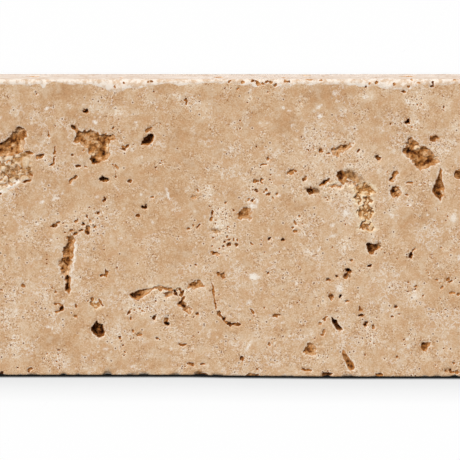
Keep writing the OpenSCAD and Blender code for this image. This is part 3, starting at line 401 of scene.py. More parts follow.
# Thin films of dirt in shallow soft hollows, in mm: [x, y, length, width, turn, deep, dark]
HOLLOWS = [[29.9, 13.5, 4.6, 3.2, -25, 0.4, 0.8], [31.9, 12.6, 4.4, 3, -30, 0.1, 0.5],
    [20.9, 9.5, 3.8, 1.9, 0, 0.35, 0.95], [18.9, 10, 2, 1, 20, 0.3, 0.6],
    [-3.6, -0.6, 3.4, 1.5, -8, 0.35, 0.75], [-15.3, -16.7, 3.2, 1.8, 20, 0.4, 0.7],
    [36.9, -4.4, 1.6, 1.8, 0, 0.4, 0.7], [29.4, -11.8, 1.6, 2.2, 20, 0.3, 0.6],
    [-7.8, -36.7, 3.4, 1.2, 0, 0.3, 0.6], [-36.2, 16.3, 1.6, 1.2, 0, 0.2, 0.4],
    [-49.6, 13.8, 2, 1.6, -30, 0.3, 0.6], [12.5, -22, 2, 1, 10, 0.1, 0.3],
    [51.2, 17.6, 1.6, 1.4, 0, 0.1, 0.3], [20.2, -29.4, 2.4, 1.2, 0, 0.1, 0.3],
    [-47.1, 18.4, 2.4, 1, 0, 0.1, 0.4], [-9.6, -34.4, 3, 0.9, -15, 0.2, 0.5],
    [54.4, -35.9, 3, 1.2, 0, 0.2, 0.4], [-27, -29.8, 1, 3, 10, 0.1, 0.3]]

# White flecks of calcite, in mm: [x, y, length, width, turn, strength]
FLECKS = [[-38.8, -6.9, 9.6, 0.6, 84.5, 0.8], [-45.7, 30.2, 1, 0.9, 0, 0.8],
    [-47.5, 33.8, 0.7, 0.6, 0, 0.7], [-40, 30.9, 1.6, 0.4, -70, 0.7],
    [-36.3, 31.2, 0.7, 0.6, 0, 0.6], [-37.3, 27.9, 0.8, 0.6, 0, 0.6],
    [-33.6, 26.7, 1.6, 1, 0, 0.8], [-48.9, 23, 1, 0.7, 0, 0.6], [-57, 28, 0.9, 0.7, 0, 0.6],
    [-13.8, 33.7, 0.9, 0.6, 0, 0.6], [-12.5, 33.2, 0.6, 0.6, 0, 0.6],
    [-28.8, 28.8, 0.7, 0.6, 0, 0.6], [-27, 29.3, 0.7, 0.6, 0, 0.5],
    [-23.5, 26.7, 0.9, 0.6, 0, 0.6], [-15.5, 26.5, 0.8, 0.6, 0, 0.6],
    [-8.5, 31.6, 0.7, 0.6, 0, 0.6], [-4.9, 28, 0.7, 0.6, 0, 0.5], [-4.5, 25.5, 0.7, 0.5, 0, 0.5],
    [5.3, 34.8, 0.8, 0.6, 0, 0.7], [13.2, 30.4, 0.8, 0.7, 0, 1], [14.7, 29.7, 0.7, 0.6, 0, 0.7],
    [22.3, 28.3, 1.2, 1.1, 0, 0.9], [22.2, 30.8, 2, 0.6, 30, 0.7], [26, 34.1, 1.2, 0.8, 0, 0.7],
    [9.4, 26.6, 0.7, 0.6, 0, 0.5], [7.4, 26.5, 0.6, 0.6, 0, 0.5], [13.2, 23.6, 0.9, 0.7, 0, 0.5],
    [15.5, 26, 0.8, 0.6, 0, 0.5], [33.5, 33, 1.4, 1, 0, 0.6], [44, 32, 1.4, 1, 0, 0.6],
    [46.5, 26.8, 1.2, 0.5, 40, 0.7], [34.2, 27.7, 0.8, 0.6, 0, 0.5], [36.1, 28, 0.7, 0.6, 0, 0.5],
    [-46.8, 6.6, 1, 1, 0, 0.8], [-43.3, 7.6, 2.2, 0.7, 20, 0.7], [-41.7, 9, 1, 0.6, 0, 0.5],
    [-33, 8, 1, 0.9, 0, 0.6], [-44.5, -2.7, 0.9, 0.7, 0, 0.6], [-48, 0.9, 0.9, 0.9, 0, 0.9],
    [-28, 10, 3.2, 0.35, -60, 0.6], [-15.6, 9.2, 4, 0.4, -75, 0.7], [-15.3, 8, 1.4, 0.55, -72, 1],
    [-22.3, 8.6, 0.9, 0.6, -50, 0.7], [-19.4, 1.5, 1.6, 0.4, -50, 0.7],
    [-27.4, -2.4, 1, 0.8, 0, 0.6], [-6.3, 2.9, 0.8, 0.8, 0, 0.8], [5.7, 5.7, 2, 1.1, -15, 0.9],
    [6.8, 7.1, 0.7, 1.4, 0, 0.8], [5.9, -12.1, 2.6, 1.5, -12, 1.2], [-7.6, 1.2, 0.5, 0.4, 0, 0.5],
    [25.6, 0.8, 1, 0.9, 0, 0.6], [29, 4, 1.8, 1.8, 0, 0.6], [22.3, -5.2, 1.4, 0.5, 65, 0.8],
    [19, -5.8, 1.3, 0.8, 0, 0.5], [13.6, -4.9, 0.5, 0.6, 0, 0.5], [8.9, 9, 0.8, 0.5, 0, 0.8],
    [12.2, 8.2, 1, 0.8, 0, 0.6], [25.4, -2, 1.4, 0.6, 15, 0.8], [49.1, 3.5, 0.7, 0.7, 0, 0.9],
    [40.2, 3.5, 1.6, 0.8, -30, 0.6], [44.6, 6, 1, 0.9, 0, 0.8], [55.6, 2.6, 1.4, 2, 0, 0.7],
    [-54, 11, 4.4, 1.2, 38, 1], [-50.6, 12.1, 2.4, 0.6, 8, 0.8], [-57.2, 9.2, 2.6, 0.8, 5, 0.9],
    [-45.6, -25, 0.8, 0.8, 0, 0.8], [-44.5, -25.3, 0.8, 0.8, 0, 0.8],
    [-51.4, -21.2, 0.7, 0.6, 0, 0.6], [-53.3, -20.6, 0.7, 0.8, 0, 0.6],
    [-54.1, -27.2, 0.8, 0.7, 0, 0.6], [-41.5, -18.4, 1, 0.7, 0, 0.6],
    [-33.2, -18.4, 1, 0.5, 20, 0.9], [-30.8, -33, 0.9, 0.8, 0, 0.6],
    [-31, -30.5, 1.2, 0.8, 0, 0.5], [-14.5, -30.2, 0.8, 0.6, 0, 0.6],
    [-11.3, -30.7, 0.7, 0.6, 0, 0.5], [-24.8, -35, 1, 0.7, 0, 0.5], [4.9, -18.7, 1, 1.2, 0, 0.6],
    [15.2, -19.8, 1.2, 0.8, 0, 0.5], [10.8, -16.4, 1, 0.8, 0, 0.5],
    [13.1, -23.6, 0.8, 0.7, 0, 0.6], [14.7, -27.3, 0.6, 0.5, 0, 0.9],
    [4.4, -30, 0.7, 2.6, -25, 0.7], [16.6, -13.8, 0.9, 0.7, 0, 0.6], [27.2, -15.1, 1.8, 2, 0, 0.6],
    [44.2, -28, 0.8, 0.9, 0, 0.9], [44.5, -30, 0.7, 0.9, 0, 0.5], [38, -20.4, 1, 0.8, 0, 0.5],
    [42, -11.7, 0.8, 1, 0, 0.5], [46, -17, 1, 1.6, 0, 0.5], [30, -24, 0.6, 0.6, 0, 0.4],
    [57.1, -7.5, 0.8, 1.6, 0, 0.6]]

# Cloudy patches, in mm: [x, y, length, width, turn, strength]; pale veils are positive
CLOUDS = [[-49, 32.6, 14, 6, 0, -0.26], [-5, 32.6, 9, 6, 0, -0.2], [10, 26.5, 10, 8, 0, -0.2],
    [26, 20.5, 9, 7, 0, 0.28], [34, 15.6, 9, 6, 0, 0.28], [38, -1, 8, 9, 0, 0.16],
    [54.5, 20.5, 9, 7, 0, 0.25], [50, -3.8, 8, 7, 0, -0.16], [-53, 5.5, 10, 5, 0, 0.1],
    [2, 8.5, 8, 6, 0, -0.22], [-46, 24, 34, 20, 0, -0.32], [-44, 8, 24, 16, 0, -0.24],
    [-12, 22, 30, 24, 0, -0.26], [8, 27, 16, 14, 0, -0.2], [-22, 9, 18, 14, 0, -0.15],
    [24, 15, 26, 16, 0, 0.5], [33, 17, 12, 10, 0, 0.15], [10, 9, 12, 14, 0, 0.25],
    [24, 32, 24, 7, 0, -0.25], [-52, -23, 18, 24, 0, 0.32], [-6, -13, 10, 14, 0, 0.28],
    [-10, -29, 18, 12, 0, 0.26], [28, -10, 12, 12, 0, 0.24], [34, -4, 12, 8, 0, 0.2],
    [51, 0, 9, 16, 0, -0.28], [51, 20, 8, 8, 0, 0.3], [18, -34, 14, 8, 0, 0.2],
    [-53, 3, 10, 8, 0, -0.2], [-40.5, 35, 10, 5, 0, -0.7], [-16, 35.5, 9, 3, 0, -0.6],
    [24, 34.5, 13, 4, 0, -0.6], [15, 26, 6, 5, 30, -0.5], [37.5, 29, 7, 8, 0, -0.4],
    [-14, 9, 6, 6, 0, -0.5], [-44, -28.5, 9, 6, -20, -0.6], [-48.5, -31, 7, 7, 0, -0.3],
    [14, 7.5, 5, 3, -45, -0.6], [16.6, 5, 4, 2.6, 40, -0.6], [-35, -6, 8, 1.2, 90, -0.5],
    [2, 9, 5, 4, 0, -0.4], [-28.5, -35.5, 2.6, 2.4, 0, -0.9], [-22, -34, 8, 3, 0, -0.4],
    [43.5, 1, 8, 4, 60, -0.4], [-39.5, -30, 3, 8, 10, -0.4], [49.5, -20, 3, 6, 0, -0.4],
    [-12, -6, 14, 10, 0, -0.2], [-1.5, -1, 7, 14, 5, 0.8], [-4.8, 8.5, 2, 6, 15, 0.6],
    [5.5, 10, 9, 6, -30, 0.5], [-22.5, -20.5, 10, 4, -10, 0.7], [-17.5, -17.2, 7, 2.4, 0, 0.8],
    [-8.5, -15.6, 5, 1.4, -5, 0.8], [-38.5, 2.5, 8, 7, 40, 0.4], [-48.2, 0.5, 4, 4, 0, 0.5],
    [20, 8, 5, 2, 10, 0.9], [24.5, 8, 6, 4, 0, 0.5], [27.5, -13.5, 3, 6, 20, 0.7],
    [29, -3, 3.4, 8, 0, 0.5], [34, 3, 6, 9, 0, 0.5], [30, 8.6, 9, 1.6, -5, 0.9],
    [37.3, 8.5, 1.6, 6, 0, 0.7], [-29, 28.5, 6, 3, 0, 0.4], [45.5, 26.5, 4, 5, 0, 0.4],
    [28.5, -19, 3, 4, 0, 0.4], [-54.5, 11, 5, 1.6, 20, 1], [-36, -31, 6, 4, 30, 0.2],
    [2.5, -29.5, 5, 4, 60, 0.4], [23, -33.5, 6, 3, 0, 0.4], [-28.5, -27, 2.6, 5, 0, 0.5],
    [48, -33, 5, 3, 40, 0.3], [46, -16.5, 4, 3, -40, 0.4], [33, -10, 4, 3, 0, 0.3],
    [17, 1.5, 5, 5, 0, 0.3], [-27.5, 29.3, 3.4, 3, 0, 1], [-48.5, 34.6, 3, 3, 0, 0.5],
    [-13.5, 33.8, 4.4, 2.4, -30, 0.9], [-9.5, 36, 4, 3, 0, 0.8], [-7.5, 30.5, 4.4, 6, 30, 0.8],
    [-5.5, 8.8, 3.4, 5, 0, 1], [-1.5, 2.8, 6, 6, 0, 0.6], [-36, 4.8, 4, 3, 0, 0.5],
    [4.5, 32.8, 2.6, 2.6, 0, 0.9], [17.3, 31, 2, 4, 0, 0.7], [34, 33.5, 5, 3.4, 0, 0.9],
    [46.5, 32, 7, 6, 0, 0.9], [8, 26, 5, 6, 0, 0.6], [11, 23, 4, 4, 0, 0.5],
    [46, 26.5, 4.4, 3, -30, 0.8], [53, 30.5, 2, 3, 0, 0.9], [56, 25.5, 3.4, 4, 0, 0.9],
    [43.3, 18.6, 2, 3, 0, 0.8], [32.5, 19, 3, 3, 0, 0.6], [17, 2, 3, 3.4, 0, 0.8],
    [41, 5, 4, 3, 0, 0.6], [44.5, 6.8, 2, 2.6, 0, 0.7], [55, 3.3, 4, 4, 0, 0.8],
    [-53.5, -27.5, 3, 3, 0, 0.6], [-43, -32, 5.4, 6, 0, 0.6], [28.5, -4.8, 2.4, 5.4, 0, 0.7],
    [23, -18.5, 2, 3.4, 0, 0.8], [46, -16.5, 3.4, 3.4, 0, 0.5], [55, -5.3, 4.4, 6, 0, 0.5],
    [4, -30, 3.4, 6, -20, 0.6], [19, -5.8, 3.4, 3, 0, 0.6], [48.7, -32.6, 3.4, 2.4, 0, 0.7],
    [21.5, -32.2, 4.4, 2, 0, 0.9], [35, -27.5, 3, 4, 0, 0.4]]

# Rusty stains, in mm: [x, y, length, width, turn, strength]
STAINS = [[-42.6, -20.1, 2.4, 2.2, 0, 0.6], [30.3, 13.4, 4, 3, -20, 0.8],
    [26.5, 10.6, 5, 1.4, 0, 0.8], [32, 11.6, 5, 1.6, 0, 0.9], [34, 9.3, 6, 3, -10, 0.8],
    [34, 3.5, 4.4, 5, 0, 0.6], [34.4, -0.2, 3, 2.4, -40, 0.5], [-22, -17.8, 2.4, 1, -10, 0.8],
    [-13, -17, 4, 3, -60, 0.5], [-17, -15.2, 5, 1.2, 0, 0.6], [-9.3, -20.6, 1.4, 2, 40, 0.6],
    [-33.3, -18.8, 3.6, 2.8, -20, 0.6], [22.3, -29.3, 2.6, 0.6, -8, 0.7],
    [-38.6, -27.2, 2, 0.8, 0, 0.6], [-28.9, -17.1, 1.8, 0.5, 25, 0.7],
    [-49.7, -36, 2, 1.6, 0, 0.7], [-7.5, -36.2, 3.6, 1.2, 0, 0.7], [48.5, -36.6, 2.2, 0.4, 0, 0.5],
    [-52, 16, 5, 6, 0, 0.4], [-55, 12, 6, 5, 0, 0.4], [28.6, -12, 1.8, 1.6, 30, 0.7],
    [25.2, -13.2, 1.4, 0.8, 0, 0.8], [19.2, -36.2, 3, 1.6, 0, 0.6], [56, -36.4, 3.4, 1.4, 0, 0.6],
    [0.3, -37, 1.6, 1, 0, 0.6], [6, -37.2, 3.4, 0.8, 0, 0.8], [24.3, -37.2, 2.4, 1, 0, 1],
    [37.5, -37, 2, 1, 0, 0.7], [-9, 8.2, 1.8, 1.4, 0, 0.5], [-35.9, 15.6, 2.2, 0.8, 0, 0.4],
    [51.5, 17.6, 2, 2, 0, 0.6], [16, 14.3, 2, 1.4, 0, 0.4]]

# The stone's random relief: what raises it to 1, and how far apart its kinds are read
NOISE_GAIN, KIND_STEP = 1.6, np.array([31.7, 17.3, 9.1])


def read(elements, name, width=1, kind=float):
    """Reads a value of every vertex, edge, face or corner of a mesh."""
    values = np.empty(len(elements) * width, kind)
    elements.foreach_get(name, values)
    return values.reshape(-1, width) if width > 1 else values


def cut(vertices, edges, faces, **how):
    """Cuts the chosen edges and faces of the tile in edit mode."""
    mesh.vertices.foreach_set("select", vertices)
    mesh.edges.foreach_set("select", edges)
    mesh.polygons.foreach_set("select", faces)
    bpy.ops.object.mode_set(mode="EDIT")
    bpy.ops.mesh.subdivide(**how)
    bpy.ops.object.mode_set(mode="OBJECT")


def near_to(places, middle, reach):
    """The places that are less than reach from a middle along X and along Y."""
    return np.flatnonzero(np.abs(places[:, :2] - np.array(middle)).max(1) < reach)


def lift(field, some, values):
    """Raises some of a field's values to new ones, where those are higher."""
    field[some] = np.maximum(field[some], values)


def inside_rim(points, rim):
    """How far each point lies inside a rim, in mm; negative outside it."""
    start = np.array(rim, float)
    side = np.roll(start, -1, axis=0) - start
    away = points[:, None] - start
    along = np.clip((away * side).sum(2) / (side ** 2).sum(1), 0, 1)
    gap = np.linalg.norm(away - along[..., None] * side, axis=2).min(1)
    above = away[..., 1] < 0
    crossing = above != np.roll(above, -1, axis=1)
    with np.errstate(divide="ignore", invalid="ignore"):
        reach = away[..., 0] < side[:, 0] * away[..., 1] / side[:, 1]
    inside = (crossing & reach).sum(1) % 2 == 1
    return np.where(inside, gap, -gap)


def inside_oval(points, oval):
    """How far each point lies inside an oval [x, y, length, width, turn, ...], in mm, and the
    same as a share of the way to its middle."""
    turn = math.radians(oval[4])
    away = points - np.array(oval[:2])
    u = (away[:, 0] * math.cos(turn) + away[:, 1] * math.sin(turn)) / (oval[2] / 2)
    v = (away[:, 1] * math.cos(turn) - away[:, 0] * math.sin(turn)) / (oval[3] / 2)
    out = np.hypot(u, v) + 1e-6
    steepness = np.hypot(u / (oval[2] / 2), v / (oval[3] / 2)) + 1e-6
    return out * (1 - out) / steepness, 1 - out


def relief(points, size, kind=0):
    """Smooth random relief from -1 to 1 with bumps about size mm across; each kind differs."""
    shifted = points / size + KIND_STEP * kind
    return np.array([noise.noise(p) for p in shifted.tolist()]) * NOISE_GAIN


def stray(points, size, *kinds):
    """Random steps from -1 to 1 along X and Y, which turn about every size mm."""
    return np.stack([relief(points, size, kind) for kind in kinds], axis=1)


def ease(values, start, end):
    """0 at start, 1 at end and an easy curve between them."""
    t = np.clip((values - start) / (end - start), 0, 1)
    return t * t * (3 - 2 * t)


# The block, with its edges along each axis cut in turn, into cells of 1.25 mm
bpy.ops.object.select_all(action="DESELECT")
bpy.ops.mesh.primitive_cube_add(size=1, location=(low + high) / 2)
tile = bpy.context.object
tile.name = "travertine_tile"
tile.scale = high - low
bpy.ops.object.transform_apply(location=True, rotation=True, scale=True)
mesh = tile.data
bpy.context.tool_settings.mesh_select_mode = (False, True, False)
for axis, pieces in ((0, 10), (0, 12), (1, 10), (1, 6), (2, 8)):
    points = read(mesh.vertices, "co", 3)
    ends = read(mesh.edges, "vertices", 2, int)
    along = np.abs(points[ends[:, 0]] - points[ends[:, 1]])[:, axis] > HAIR * MM
    cut(np.isin(np.arange(len(points)), ends[along]), along,
        np.zeros(len(mesh.polygons), bool), number_cuts=pieces - 1)

# The cells are cut in four up to three times near the pits, and twice near softer forms and in
# a strip along the worn edges, wider along the top: [size of the cells that are cut, how near
# a form, width of the strip, all in mm, and whether softer forms and the strip count too]
TOP_STRIP, STRIP_DEPTH = 2.6, 1.8
bpy.context.tool_settings.mesh_select_mode = (False, False, True)
for cell, around, strip, soft_too in ([1.25, 0.9, 1.3, True], [0.63, 0.6, 0.6, True],
        [0.32, 0.26, 0, False]):
    centres = read(mesh.polygons, "center", 3) / MM
    widths = np.sqrt(read(mesh.polygons, "area")) / MM
    on_top = centres[:, 2] > top - HAIR
    face = centres[on_top, :2]
    gap = np.full(len(face), -99.0)
    for rim in [pit[-1] for pit in LARGE_PITS + RUBBLE]:
        some = near_to(face, np.mean(rim, axis=0), PIT_SPAN)
        lift(gap, some, inside_rim(face[some], rim))
    ovals = SMALL_PITS + DIMPLES + [[x, y, width, width, 0] for x, y, width in PINHOLES]
    ovals += [oval for oval in HONEYCOMB if soft_too or oval[5] > 0.7]
    if soft_too:
        ovals += FLECKS + HOLLOWS + END_PITS
    for oval in ovals:
        some = near_to(face, oval[:2], max(oval[2:4]) / 2 + 2)
        lift(gap, some, inside_oval(face[some], oval)[0])
    near = np.full(len(centres), -99.0)
    near[on_top] = gap
    for axis, inward, sawn_at, oval in sawn_pits if soft_too else []:
        across = [a for a in (0, 1, 2) if a != axis]
        some = near_to(centres[:, across], oval[:2], max(oval[2:4]) / 2 + 2)
        some = some[np.abs(centres[some, axis] - sawn_at) < HAIR]
        lift(near, some, inside_oval(centres[some][:, across], oval)[0])
    edge = np.minimum(half_length - np.abs(centres[:, 0]), half_width - np.abs(centres[:, 1]))
    reach = np.where(centres[:, 1] > half_width - TOP_STRIP, TOP_STRIP, strip)
    worn = (edge < reach) & (top - centres[:, 2] < STRIP_DEPTH)
    chosen = (widths > cell * 0.8) & ((near > -around) | (worn & soft_too))
    corners = np.repeat(chosen, read(mesh.polygons, "loop_total", kind=int))
    vertices = read(mesh.loops, "vertex_index", kind=int)[corners]
    edges = read(mesh.loops, "edge_index", kind=int)[corners]
    cut(np.isin(np.arange(len(mesh.vertices)), vertices),
        np.isin(np.arange(len(mesh.edges)), edges), chosen,
        number_cuts=1, ngon=False, quadcorner="INNERVERT")


def wear(first, second, reach, drop):
    """Rounds the edge where two depths below the block's faces are both small: points outside
    an ellipse of that reach and drop move in to it. Returns both depths and how worn each is."""
    u, v = (reach - first) / reach, (drop - second) / drop
    outside = np.hypot(u, v)
    worn = (u > 0) & (v > 0) & (outside > 1)
    scale = np.where(worn, 1 / np.maximum(outside, 1), 1)
    moved_first = np.where(worn, reach - (reach - first) * scale, first)
    moved_second = np.where(worn, drop - (drop - second) * scale, second)
    near = np.minimum(ease(first, reach + 0.5, reach - 0.3), ease(second, drop + 0.6, drop - 0.4))
    return moved_first, moved_second, near


# The worn edges: each front edge is worn to a ragged round. The one along the bottom is
# nearly sharp between its chips, and the edges of the bed are only nicked
points = read(mesh.vertices, "co", 3) / MM
block = points.copy()
nicks, chips = relief(block, 2.5), relief(block, 3.5, 4)
grit = relief(block, 0.8) + 0.6 * relief(block, 0.4, 3)
worn = np.zeros(len(points))
for axis, face, places in ((1, half_width, TOP_EDGE_WEAR), (1, -half_width, BOTTOM_EDGE_WEAR),
        (0, half_length, END_EDGE_WEAR), (0, -half_length, END_EDGE_WEAR)):
    sharp = face == -half_width
    sign = math.copysign(1, face)
    reach = SHARP_WEAR + SHARP_STRAY * nicks if sharp else WEAR_REACH + WEAR_STRAY * nicks
    for where, half, more in places:
        reach += more * ease(np.abs(block[:, 1 - axis] - where), half, half * 0.3)
    reach = np.maximum(reach, SHARP_WEAR)
    drop = WEAR_DROP * (0.3 + 0.7 * reach / WEAR_REACH)
    if sharp:
        reach += 0.6 * ease(chips, 0.45, 0.7)
        drop = 0.15 + 0.8 * reach + 1.6 * ease(reach, 0.6, 1.1)
    reach = np.maximum(reach + 0.07 * grit, 0.06)
    drop = drop + 0.06 * grit
    inward, below, near = wear(abs(face) - sign * points[:, axis], top - points[:, 2], reach, drop)
    points[:, axis] = sign * (abs(face) - inward)
    points[:, 2] = top - below
    worn = np.maximum(worn, near * (1 if face > 0 else 0.45))
    inward, above, near = wear(abs(face) - sign * points[:, axis], points[:, 2],
        BED_WEAR + BED_STRAY * nicks, BED_WEAR + BED_STRAY * nicks)
    points[:, axis] = sign * (abs(face) - inward)
    points[:, 2] = above
    worn = np.maximum(worn, near * 0.5)

# The side along the bottom strays inwards by up to 0.4 mm towards the left
uneven = 0.23 * ease(points[:, 0], 30, -5) + 0.19 * ease(points[:, 0], 2, -12)
points[:, 1] += uneven * ease(points[:, 1], -33, -half_width)

# The upright edges, worn round
reach = CORNER_WEAR + CORNER_STRAY * nicks
for x_side, y_side in ((-1, -1), (-1, 1), (1, -1), (1, 1)):
    inward_x, inward_y, near = wear(half_length - x_side * points[:, 0],
        half_width - y_side * points[:, 1], reach, reach)
    points[:, 0] = x_side * (half_length - inward_x)
    points[:, 1] = y_side * (half_width - inward_y)
    worn = np.maximum(worn, near * 0.5)

# The skin of the face. Its places are bent at random, so that outlines stray: least for the
# crispest pits (calm), more for the others (flat, ragged), most for those at the ends (rugged)
skin = np.flatnonzero((block[:, 2] > top - HAIR) | (worn > 0.2) & (block[:, 2] > top / 2))
spots = points[skin]
flat = spots[:, :2] + (0.18 * stray(spots, 0.9, 5, 7) + 0.1 * stray(spots, 0.4, 6, 8))
calm = 0.4 * flat + 0.6 * spots[:, :2]
ragged = flat + 0.28 * stray(spots, 0.7, 9, 10)
rugged = ragged + 0.5 * stray(spots, 1.9, 14, 15)
lumps, crumbs = relief(spots, 1.4, 1), relief(spots, 0.5, 2)

# What each place of the skin has: how far it sinks and how far it lies inside a pit's rim, in
# mm, and from 0 to 1 its dirt, film of dirt, rusty stain, pale veil, cloud and white fleck
sink, dirt, film, stain, veil, cloud, fleck = np.zeros((7, len(skin)))
rim_gap = np.full(len(skin), -3.0)

# The large pits, each with a soft wall, steeper where it faces down to the right, and a lumpy
# floor with its marks
for depth, dark, rim in LARGE_PITS:
    middle = np.mean(rim, axis=0)
    some = near_to(spots, middle, PIT_SPAN)
    where = (ragged if dark < 0.7 else calm if dark > 1 else flat)[some]
    gap = inside_rim(where, rim)
    lee = np.clip((gap - inside_rim(where + (0.3, -0.3), rim)) / 0.42, -1, 1)
    wall = ease(gap, -0.06, (0.26 if dark > 0.9 else 0.6) * (1 + 0.7 * lee))
    floor = depth * (0.85 + 0.2 * lumps[some]) + 0.18 * crumbs[some]
    for mark in MARKS:
        if np.abs(np.array(mark[:2]) - middle).max() < 9:
            floor += 0.7 * mark[5] * ease(inside_oval(flat[some], mark)[1], -0.3, 0.7)
    floor = np.maximum(floor, 0.15 + 0.1 * crumbs[some])
    lift(sink, some, floor * wall + 0.1 * ease(gap, -0.6, 0))
    lift(rim_gap, some, gap)
    lift(dirt, some, dark * (dark + (1 - dark) * wall) * ease(gap, -0.3, -0.05))

# The rubbly hollow: lumps about 1.5 mm across and larger ones, paler on their tops and darker
# and browner between them
for depth, rim in RUBBLE:
    some = near_to(spots, np.mean(rim, axis=0), PIT_SPAN)
    gap = inside_rim(flat[some], rim)
    bent = flat[some] + 0.35 * np.stack([lumps[some], relief(spots[some], 1.7, 11)], axis=1)
    cells = [noise.voronoi((x / 1.5, y / 1.5, 0))[0] for x, y in bent.tolist()]
    hump = 0.8 * ease(np.array([c[1] - c[0] for c in cells]), 0, 0.4)
    for lump in LUMPS:
        hump = np.maximum(hump, ease(inside_oval(bent, lump)[1], -0.1, 0.7))
    rough = 0.36 - 0.36 * hump + 0.1 * lumps[some] + 0.08 * crumbs[some]
    lift(sink, some, depth * np.maximum(rough, 0) * ease(gap, -0.2, 0.9))
    lift(film, some, 0.95 * ease(gap, 0, 1) * ease(rough, 0.14, 0.42))
    lift(stain, some, ease(gap, 0, 1) * ease(rough, 0, 0.4) * 0.9)
    lift(veil, some, ease(gap, -0.4, 0.6) * 0.6 * ease(hump, 0.2, 0.8))

# The small pits, pinholes and dimples; a small pit that isn't black is no deeper than its
# width gives
for oval in SMALL_PITS + END_PITS:
    some = near_to(spots, oval[:2], max(oval[2:4]) + 1)
    narrow = min(oval[2:4])
    where = rugged if oval in END_PITS else ragged if narrow > 0.6 else flat
    gap = inside_oval(where[some], oval)[0] + 0.05
    wall = ease(gap, -0.08, narrow * 0.32)
    depth = oval[5] if oval[6] > 0.85 else min(oval[5], 0.15 + 0.35 * narrow)
    floor = depth * (0.85 + 0.3 * lumps[some]) + 0.06 * crumbs[some]
    lift(sink, some, floor * wall + 0.05 * ease(gap, -0.4, 0))
    lift(rim_gap, some, np.minimum(gap, gap * 2) + 0.04)
    lift(dirt, some, (0.23 + 0.8 * oval[6]) * ease(gap, -0.3, -0.1) + 0.1 * ease(gap, 0, 0.2))
for x, y, width in PINHOLES:
    some = near_to(spots, (x, y), 1.2)
    gap = inside_oval(flat[some], [x, y, width, width, 0])[0]
    lift(sink, some, (0.1 + 0.4 * width) * ease(gap, -0.07, 0.14))
    lift(rim_gap, some, np.minimum(gap, gap * 3) + 0.04)
    lift(dirt, some, 0.8 * ease(gap, -0.2, -0.02))
for oval in DIMPLES:
    some = near_to(spots, oval[:2], max(oval[2:4]) + 0.6)
    gap = inside_oval(ragged[some], oval)[0]
    lift(sink, some, 0.16 * ease(gap, -0.12, 0.25))
    lift(rim_gap, some, gap - 0.05)
    lift(dirt, some, 0.45 * ease(gap, -0.2, 0))

# The honeycombed patches: winding tubes and burrows, with a pale ridge round each patch
eaten, comb, ridge = np.full(len(skin), -2.0), np.zeros(len(skin)), np.zeros(len(skin))
for oval in HONEYCOMB:
    some = near_to(spots, oval[:2], max(oval[2:4]) * 0.7 + 0.8)
    gap = inside_oval(ragged[some], oval)[0] + 0.25 * lumps[some]
    lift(eaten, some, gap)
    lift(comb, some, oval[5] * ease(gap, -0.1, 0.25))
    lift(ridge, some, oval[5] ** 2 * ease(gap, -0.5, -0.15))
winding = ease(np.abs(relief(spots, 1.1, 12) + 0.4 * relief(spots, 0.5, 13)), 0.55, 0.15)
burrows = ease(relief(spots, 1.2, 16) + 0.5 * relief(spots, 0.4, 17), 0.42, 0.7)
sink = np.maximum(sink, comb ** 2 * (0.2 + 0.2 * winding + 0.16 * burrows))
veil = np.maximum(veil, ridge * ease(eaten, 0.3, 0) * 0.9)
tubes = comb * np.maximum(0.9 * winding, burrows * 1.3)

# The shallow hollows with their films of dirt, and the marks' dirt
for oval in HOLLOWS:
    some = near_to(spots, oval[:2], max(oval[2:4]) * 0.7 + 0.5)
    share = inside_oval(flat[some], oval)[1]
    sink[some] += oval[5] * ease(share, -0.1, 0.8) * (1 + 0.3 * crumbs[some])
    lift(film, some, oval[6] * ease(share, -0.15, 0.6))
for oval in MARKS:
    some = near_to(spots, oval[:2], max(oval[2:4]) * 0.7 + 0.5)
    dirt[some] += 0.75 * oval[6] * ease(inside_oval(flat[some], oval)[1], -0.4, 0.6)
points[skin, 2] -= sink * ease(top - spots[:, 2], 1.4, 0.3)

# The sawn pits: soft hollows in the bed and the long sides
sawn_gap, sawn_dirt = np.full(len(points), -3.0), np.zeros(len(points))
for axis, inward, sawn_at, oval in sawn_pits:
    across = [a for a in (0, 1, 2) if a != axis]
    some = near_to(block[:, across], oval[:2], max(oval[2:4]))
    some = some[np.abs(block[some, axis] - sawn_at) < HAIR]
    spot = block[some]
    gap = inside_oval(spot[:, across] + 0.5 * stray(spot, 1.6, 14, 15), oval)[0]
    floor = ease(gap, -0.15, 0.7) * (0.8 + 0.3 * relief(spot, 1.2, 1))
    points[some, axis] += inward * SAWN_PIT * floor
    lift(sawn_gap, some, gap)
    lift(sawn_dirt, some, 0.5 * ease(gap, -0.2, 0.4))
mesh.vertices.foreach_set("co", (points * MM).ravel())

# Cloudy patches, stains and flecks, each fading out towards its edge
for patches, field, edge in ((CLOUDS, cloud, 0.9), (STAINS, stain, 0.7), (FLECKS, fleck, 0.6)):
    for oval in patches:
        some = near_to(spots, oval[:2], max(oval[2:4]) * 0.75 + 0.5)
        share = inside_oval(flat[some] + 0.2 * lumps[some, None], oval)[1]
        field[some] += oval[5] * ease(share, -0.4, edge)

# What the material reads of each place: [name, on the face, elsewhere]
tile_fields = {"worn": worn, "sawn": ease(top - block[:, 2], 0.4, 1.2)}
for name, on_face, elsewhere in (("rim gap", rim_gap, sawn_gap), ("dirt", dirt, sawn_dirt),
        ("film", film, 0), ("cloud", cloud, 0), ("stain", stain, 0), ("fleck", fleck, 0),
        ("veil", veil, 0), ("comb", comb, 0), ("tubes", tubes, 0),
        # low marks the sunken places, for a painted warm shade in the material
        ("low", ease(sink, 0.1, 0.4) * (1 - comb), 0)):
    tile_fields[name] = np.zeros(len(points)) + elsewhere
    tile_fields[name][skin] = on_face
for name, values in tile_fields.items():
    mesh.attributes.new(name, "FLOAT", "POINT").data.foreach_set("value", values)
bpy.ops.object.shade_smooth()


